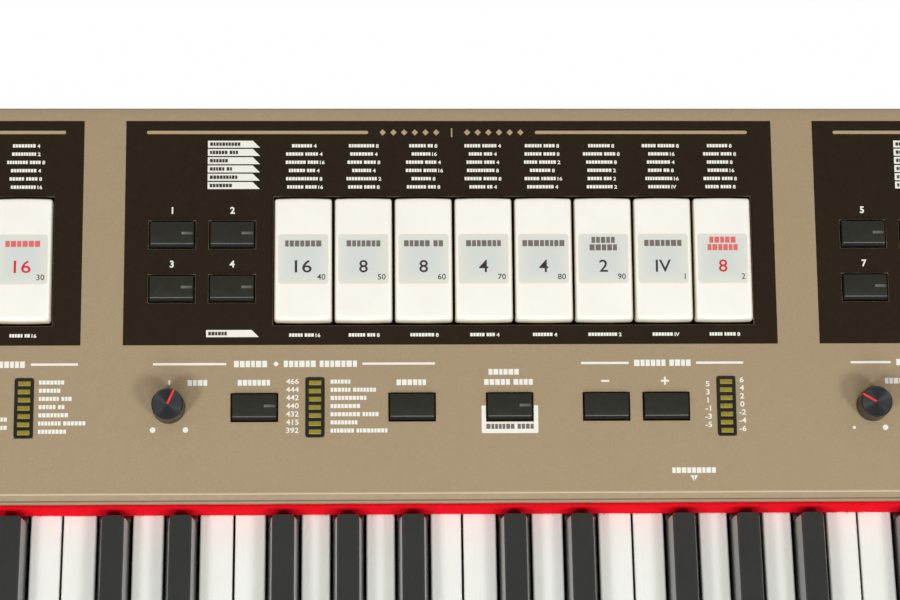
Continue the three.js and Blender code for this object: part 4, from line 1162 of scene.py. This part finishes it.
def makeButton(node):
    # a side outline in v and n, carried along x: flat top, broad front bevel behind a narrow line painted
    # lighter as a highlight, small bevel at the rear; walls and bevels are near-black painted shade
    x, v = buttonPlaces[node]
    s = buttonStyle
    h, top, low = s["halfY"], s["top"], s["low"]
    side = [(-h, low), (h, low), (h, top - s["rearBevel"][1]), (h - s["rearBevel"][0], top),
            (-h + s["frontBevel"] + s["highlightLine"], top), (-h + s["frontBevel"], top - s["highlightDrop"]),
            (-h, top - s["frontBevel"])]
    points, faces = prism(side, -s["halfX"], s["halfX"])
    points[:, 2] *= 1 - np.clip(points[:, 1] / top, 0, 1) * (1 - s["topHalfX"] / s["halfX"])
    bag = Bag()
    # faces: bottom, rear wall and rear bevel in painted shade, top, front line painted light as a highlight,
    # front bevel and front wall in painted shade, then the two ends
    bag.add((deckPlace(points[:, [2, 0, 1]] + (x, v, 0)), faces), [0, 1, 1, 0, 2, 1, 1, 0, 0])
    more, corner, levels = s["flange"]
    bag.add(onDeck(tube(roundedRings(s["halfX"] + more, h + more, corner, levels) + (x, v, 0))))
    bag.add(onDeck(tube(roundedRings(*s["stem"]) + (x, v, 0))))
    bag.make(node + "_cap", ["button_plastic", "painted_shade_button_walls", "painted_highlight_button_edge"], "button",
             body=node, replaces=[node], bevel=s["edge"])
    if node in s["unlit"]:
        return
    length, thick = s["slit"]
    slit = roundedRings([length / 2] * 2, [thick / 2] * 2, 0.15, [top - 0.1, top + 0.03])
    slit += (x + s["halfX"] - s["slitInset"] - length / 2, v + s["slitShift"], 0)
    light = makePiece(node + "_light", onDeck(tube(slit)), ["button_light_lens"], "button", body=node)
    ownValues(light, "fade", 0.7 * (slit[..., 0] - slit[..., 0].min()).ravel() / length)


for node in buttonNames:
    makeButton(node)
print("buttons made")

# Knobs
knobStyle = {
    "sides": 96, "flute": 0.12, "disc": 6.05, "dish": 0.25, "discLow": 10.0, "discTop": 10.6,
    "discRadii": [5.0, 4.0, 3.0, 2.0, 1.0, 0.25],
    "profile": [(3.0, -4.0), (3.0, 0.8), (6.6, 0.8), (6.8, 1.0), (6.8, 1.7), (6.74, 2.2), (6.55, 9.6),
                (6.5, 10.2), (6.36, 10.58), (6.2, 10.7), (6.08, 10.62), (6.08, 9.9)],
    "pointer": [(0.1, 10.46), (5.4, 10.68), (6.1, 10.8), (6.5, 10.6), (6.64, 10.0), (6.86, 2.6)],
    "pointerHalf": [0.42, 0.42, 0.36, 0.26, 0.22, 0.18], "pointerDepth": 0.35, "pointerBend": 6.2,
    "slotFloor": 10.3,
}


def pointerTurn(node, x):
    # the pointer's direction: the slot's floor holds the CAD points just below the top face
    p = nodePoints(node)
    floor = p[np.abs(p @ outOfPanel - panelFace - knobStyle["slotFloor"]) < 0.02]
    d = np.column_stack([floor[:, 0] - x, floor @ upSlope - bendLine - controlRow])
    far = d[np.hypot(d[:, 0], d[:, 1]) > 3].mean(axis=0)
    return math.atan2(far[1], far[0])


def makeKnob(node):
    x, v = deckCentre(node)
    s = knobStyle
    sides, r = s["sides"], s["disc"]
    place = (x, controlRow, 0)
    # the side: a skirt, a slight taper with fine flutes, and a thin rim round the disc's seat
    rings = lathe(s["profile"], sides)
    rings[5:7, :, :2] *= (1 - s["flute"] / 7 * (np.arange(sides) % 2))[None, :, None]
    makePiece(node + "_body", onDeck(tube(rings + place)), ["glossy_black_plastic"], "knob", body=node,
              replaces=[node], sharp=35)
    # the spun disc in its seat, its UV map running round it
    spunFinish("spun_top_" + node, deckPlace((x, v, 0)) * mm)
    radii = np.array([r, *s["discRadii"]])
    heights = s["discTop"] - s["dish"] * (1 - radii / r)
    profile = [(radii[-1], s["discLow"]), (r, s["discLow"]), *zip(radii, heights)]
    mesh = makePiece(node + "_disc", onDeck(tube(lathe(profile, sides) + place)), ["spun_top_" + node],
                     "knob", body=node, sharp=30).data
    loops = np.zeros(len(mesh.loops), int)
    mesh.loops.foreach_get("vertex_index", loops)
    ring, spoke = np.divmod(loops, sides)
    sizes = np.zeros(len(mesh.polygons), int)
    mesh.polygons.foreach_get("loop_total", sizes)
    face = np.repeat(np.arange(len(sizes)), sizes)
    wrapped = np.zeros(len(sizes), bool)
    np.maximum.at(wrapped, face, spoke == sides - 1)
    turnShare = spoke / sides + (wrapped[face] & (spoke == 0))
    uv = np.column_stack([turnShare, ring / len(profile)]).ravel().astype(np.float32)
    mesh.uv_layers.new(name="spin").data.foreach_set("uv", uv)
    # the red pointer, from the middle of the disc over the rim and thinly down the side
    path, half, depth = np.array(s["pointer"]), np.array(s["pointerHalf"]), s["pointerDepth"]
    left = np.column_stack([path[:, 0], -half, path[:, 1]])
    right = np.column_stack([path[:, 0], half, path[:, 1]])
    back = np.where(path[:, :1] > s["pointerBend"], [[-depth, 0, 0]], [[0, 0, -depth]])
    rings = np.stack([left, right, right + back, left + back], axis=1)
    turn = pointerTurn(node, x)
    c, sn = math.cos(turn), math.sin(turn)
    points, faces = onDeck(tube(rings @ np.array([[c, sn, 0], [-sn, c, 0], [0, 0, 1]]) + place))
    makePiece(node + "_pointer", (points, [f[::-1] for f in faces]), ["pointer_paint"], "knob", body=node)


for node in knobNames:
    makeKnob(node)
print("knobs made")

# Light bars
barStyle = {
    "halfX": 3.95, "halfY": 12.5, "corner": 1.2, "lift": 0.35, "lights": 7, "pitch": 3.4,
    "insets": [0.5, 0.5, 0, 0, 0.12, 0.4, 0.7], "lens": (5.1, 2.0), "stagger": 0.06,
    "lensInsets": [0, 0, 0.1, 0.35], "lensCorners": [0.25, 0.25, 0.2, 0.1],
    "lensLevels": [0.0, 0.42, 0.52, 0.56],
}


def makeLightBar(name, x):
    # a stem through the sheet, then a plate that rests on its face and has a softened rim
    s = barStyle
    inset, lift = np.array(s["insets"]), s["lift"]
    rim = roundedRings(s["halfX"] - inset, s["halfY"] - inset, np.maximum(s["corner"] - inset, 0.5),
                       [-0.6, 0, 0.01, lift - 0.1, lift, lift, lift - 0.1]) + (x, controlRow, 0)
    makePiece(name, onDeck(tube(rim)), ["matt_black_plastic"], "socket_plastic", sharp=40)
    bag = Bag()
    half = np.array(s["lens"])[:, None] / 2 - s["lensInsets"]
    for i in range(s["lights"]):
        place = (x + s["stagger"] * (-1) ** i, controlRow + (i - 3) * s["pitch"], 0)
        bag.add(onDeck(tube(roundedRings(*half, s["lensCorners"], s["lensLevels"]) + place)))
    bag.make(name + "_lenses", ["bar_light_lens"], "circuit_board", sharp=50)


for index, x in enumerate(lightBarX):
    makeLightBar(f"light_bar_{index + 1}", x)
print("light bars made")


# Case: end blocks, key slip, feet
caseStyle = {
    "blockEdge": (1.6, 3, 35), "slipRound": 4.0,
    # a foot's profile: hollow for its screw as (radius, height), then (inset from its radius, height)
    # and (inset, drop from its top)
    "footHollow": [(3.0, 2.5), (3.4, 0.4), (3.9, 0.0)], "footShoulder": [(3.0, 0.0), (2.2, 0.35), (1.6, 1.2)],
    "footTop": [(0.3, 0.8), (0.5, 0.2), (1.0, 0)],
}


def alongX(outline, low, high):
    # an outline in y and z, carried across the organ
    points, faces = prism(outline, low[0], high[0])
    return points[:, [2, 0, 1]], faces


for node in ("left_end_block", "right_end_block"):
    low, high = boxOf(node)
    p = nodePoints(node)
    side = np.unique(np.round(p[np.abs(p[:, 0] - low[0]) < 0.01][:, 1:], 3), axis=0)
    # along the underside from front to rear, then over the top from rear to front
    under = side[side[:, 1] < low[2] + 0.01]
    over = side[side[:, 1] >= low[2] + 0.01]
    outline = np.vstack([under[np.argsort(under[:, 0])], over[np.lexsort((-over[:, 1], -over[:, 0]))]])
    makePiece(node + "_cheek", alongX(outline, low, high), ["dark_brown_paint"], "case_paint",
              replaces=[node], bevel=caseStyle["blockEdge"])

low, high = boxOf("key_slip")
r = caseStyle["slipRound"]
side = np.vstack([[(low[1], low[2]), (high[1], low[2])],
                  arc((high[1] - r, high[2] - r), r, 0, 90, 8), arc((low[1] + r, high[2] - r), r, 90, 180, 8)])
makePiece("key_slip_rail", alongX(side, low, high), ["dark_brown_paint"], "case_paint",
          replaces=["key_slip"], sharp=30)


def makeFoot(node):
    # a turned rubber foot with a rounded shoulder and a hollow for its screw
    low, high = boxOf(node)
    radius = (high[0] - low[0]) / 2
    profile = [*caseStyle["footHollow"], *[(radius - a, b) for a, b in caseStyle["footShoulder"]],
               *[(radius - a, high[2] - b) for a, b in caseStyle["footTop"]]]
    centre = ((low[0] + high[0]) / 2, (low[1] + high[1]) / 2, 0)
    makePiece(node + "_turned", tube(lathe(profile, 48) + centre), ["foot_rubber"], "rubber",
              replaces=[node], sharp=40)


for node in ("foot_front_left", "foot_front_right", "foot_rear_left", "foot_rear_right"):
    makeFoot(node)
print("case made")

# Rear: screw heads with their cross recess painted as a near-black cross, nuts on the jacks, the data socket's
# ring and its pin holes painted as near-black discs, and the inlet's pin
rearStyle = {
    "screw": [(3.95, -0.2), (3.95, 1.42), (3.7, 1.62), (2.8, 1.85), (1.4, 1.95), (0.3, 1.97)],
    "cross": (1.9, 0.32), "crossLevels": (1.2, 2.0), "plateFace": 167.23, "headHeight": 1.3,
    "nut": (6.0, 3.45, 0.5), "nutFlat": 5.5, "ring": (8.3, 6.75, 0.35),  # outer, inner, thickness
    "pinHole": (0.65, [-0.42, -0.36]), "pinCircle": 3.5,
    "inletPin": [(0.75, -16.2), (0.75, -2.4), (0.45, -2.0)],
    "socketX": [130, 162, 194, 226, 258], "socketZ": 62,
}


def ringShape(outer, inner, thickness, place, sides=48, flats=None):
    # a flat ring facing the rear, round or with six flats outside: radius of a flat over the cosine of
    # the angle from its middle
    rings = lathe([(outer, 0), (outer, thickness), (inner, thickness), (inner, 0)], sides)
    if flats:
        angle = np.arange(sides) * 2 * math.pi / sides
        off = (angle + math.pi / 6) % (math.pi / 3) - math.pi / 6
        rings[:2, :, :2] *= (flats / outer / np.cos(off))[None, :, None]
    i = np.arange(4)[:, None] * sides
    up = (np.arange(4)[:, None] + 1) % 4 * sides
    j = np.arange(sides)[None, :]
    k = (j + 1) % sides
    quads = np.stack([i + j, i + k, up + k, up + j], -1).reshape(-1, 4).tolist()
    return carried(rings, "y") + place, quads


def makeRear():
    s = rearStyle
    plate, z = s["plateFace"], s["socketZ"]
    face = boxOf("socket_board")[1][1]
    p = nodePoints("rear_panel")
    heads = p[p[:, 1] > plate + s["headHeight"]]
    key = np.column_stack([np.round(heads[:, 0] / 60), heads[:, 2] > z])
    screws = Bag()
    reach, half = s["cross"]
    for group in np.unique(key, axis=0):
        head = heads[(key == group).all(axis=1)]
        x, _, height = (head.min(axis=0) + head.max(axis=0)) / 2
        centre = (x, plate, height)
        screws.add(tube(carried(lathe(s["screw"], 32), "y") + centre))
        # the recess is a near-black cross standing just above the head's face, painted shade in place of a
        # hollow
        for a, b in ((reach, half), (half, reach)):
            points, faces = prism(rectangle(-b, b, -a, a), *s["crossLevels"])
            screws.add((carried(points, "y") + centre, faces), 1)
    screws.make("rear_screws", ["blackened_steel", "painted_shade_near_black"], "frame_metal", sharp=35)
    nuts = Bag()
    *jacks, data, inlet = s["socketX"]
    for x in jacks:
        nuts.add(ringShape(*s["nut"], (x, face, z), flats=s["nutFlat"]))
    nuts.add(ringShape(*s["ring"], (data, face, z)))
    nuts.add(tube(carried(lathe(s["inletPin"], 20), "y") + (inlet, face, z)))
    nuts.make("rear_nuts", ["nickel_plate"], "frame_metal", sharp=35)
    # the pin holes are thin near-black discs, painted shade in place of hollows
    holes = Bag()
    radius, levels = s["pinHole"]
    for angle in np.radians(np.linspace(180, 360, 5)):
        place = (data + s["pinCircle"] * math.cos(angle), face, z - s["pinCircle"] * math.sin(angle))
        holes.add(tube(carried(lathe([(radius, level) for level in levels], 20), "y") + place))
    holes.make("data_socket_pin_holes", ["painted_shade_near_black"], "socket_plastic")


makeRear()
print("rear made")

# Floor, backdrop and light
stageStyle = {
    "floorHalf": 6000, "floorRear": 3600, "sweep": 900, "wallHeights": [2500, 4000],
    "whiteNear": 0.72, "whiteFar": 0.995, "world": 0.3, "aim": (-60, 20, 90),
    "lamps": [  # name, place, size and power
        ("left_front", (-1550, -1755, 1900), 560, 35),
        ("right_front", (1430, -1755, 1900), 560, 34),
        ("front_fill", (-60, -2578, 1590), 1640, 33),
    ],
}


def makeFloor():
    # one sheet: flat floor that sweeps up into a backdrop far behind
    s = stageStyle
    h, rear, sweep = s["floorHalf"], s["floorRear"], s["sweep"]
    turn = np.radians(np.linspace(10, 90, 9))
    y = np.concatenate([np.linspace(-h, rear, 12), rear + sweep * np.sin(turn), [rear + sweep] * 2])
    z = np.concatenate([np.zeros(12), sweep * (1 - np.cos(turn)), s["wallHeights"]])
    f = Finish("pale_floor", Roughness=0.9)
    f.colour(f.mix(f.noise(400, 2), (238, 238, 237), (244, 244, 243)))
    floor = newObject("floor", sheetWithHoles(np.linspace(-h, h, 12), np.column_stack([y, z]), y),
                      ["pale_floor"])
    floor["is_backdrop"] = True
    # seen directly, by gloss or through glass it is white, and it keeps part of the shadow
    path = f.add("LightPath").outputs
    seen = f.calc("MAXIMUM", f.calc("MAXIMUM", path["Is Camera Ray"], path["Is Glossy Ray"]),
                  path["Is Transmission Ray"])
    # the share of white grows with the distance, and quickly behind the object
    around = f.add("Mapping", Scale=(1, 2.2, 0))
    f.join(f.place, around.inputs["Vector"])
    away = f.calc("LENGTH", around.outputs["Vector"], kind="VectorMath")
    apart = f.add("SeparateXYZ")
    f.join(f.place, apart.inputs[0])
    white = s["whiteNear"], s["whiteFar"]
    share = f.calc("MAXIMUM", f.ramp(away, 0.55, 0.95, *white), f.ramp(apart.outputs["Y"], 0.175, 0.22, *white))
    glow = f.add("Emission", Strength=1.0, Color=(1, 1, 1, 1))
    blend = f.add("MixShader")
    f.join(f.calc("MULTIPLY", seen, share), blend.inputs[0])
    f.join(f.shader.outputs[0], blend.inputs[1])
    f.join(glow.outputs[0], blend.inputs[2])
    f.join(blend.outputs[0], f.tree.nodes["Material Output"].inputs["Surface"])


def makeLight():
    # a plain white world, brighter where it is seen directly or through glass, and three soft lamps
    s = stageStyle
    world = bpy.data.worlds.new("studio")
    bpy.context.scene.world = world
    world.use_nodes = True
    w = Nodes(world.node_tree)
    background = w.tree.nodes["Background"]
    background.inputs["Color"].default_value = (1, 1, 1, 1)
    path = w.add("LightPath").outputs
    either = w.calc("MAXIMUM", path["Is Camera Ray"], path["Is Transmission Ray"])
    w.join(w.ramp(either, 0, 1, s["world"], 1.0), background.inputs["Strength"])
    for name, place, size, power in s["lamps"]:
        data = bpy.data.lights.new(name, "AREA")
        data.shape = "SQUARE"
        data.size = size * mm
        data.energy = power
        light = bpy.data.objects.new(name, data)
        light.location = [c * mm for c in place]
        toward = np.array(s["aim"], float) - place
        toward /= np.linalg.norm(toward)
        light.rotation_euler = (math.acos(-toward[2]), 0, math.atan2(-toward[0], toward[1]))
        bpy.context.scene.collection.objects.link(light)


makeFloor()
makeLight()
bpy.context.scene.view_settings.view_transform = "Standard"
print("stage made")

low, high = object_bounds()
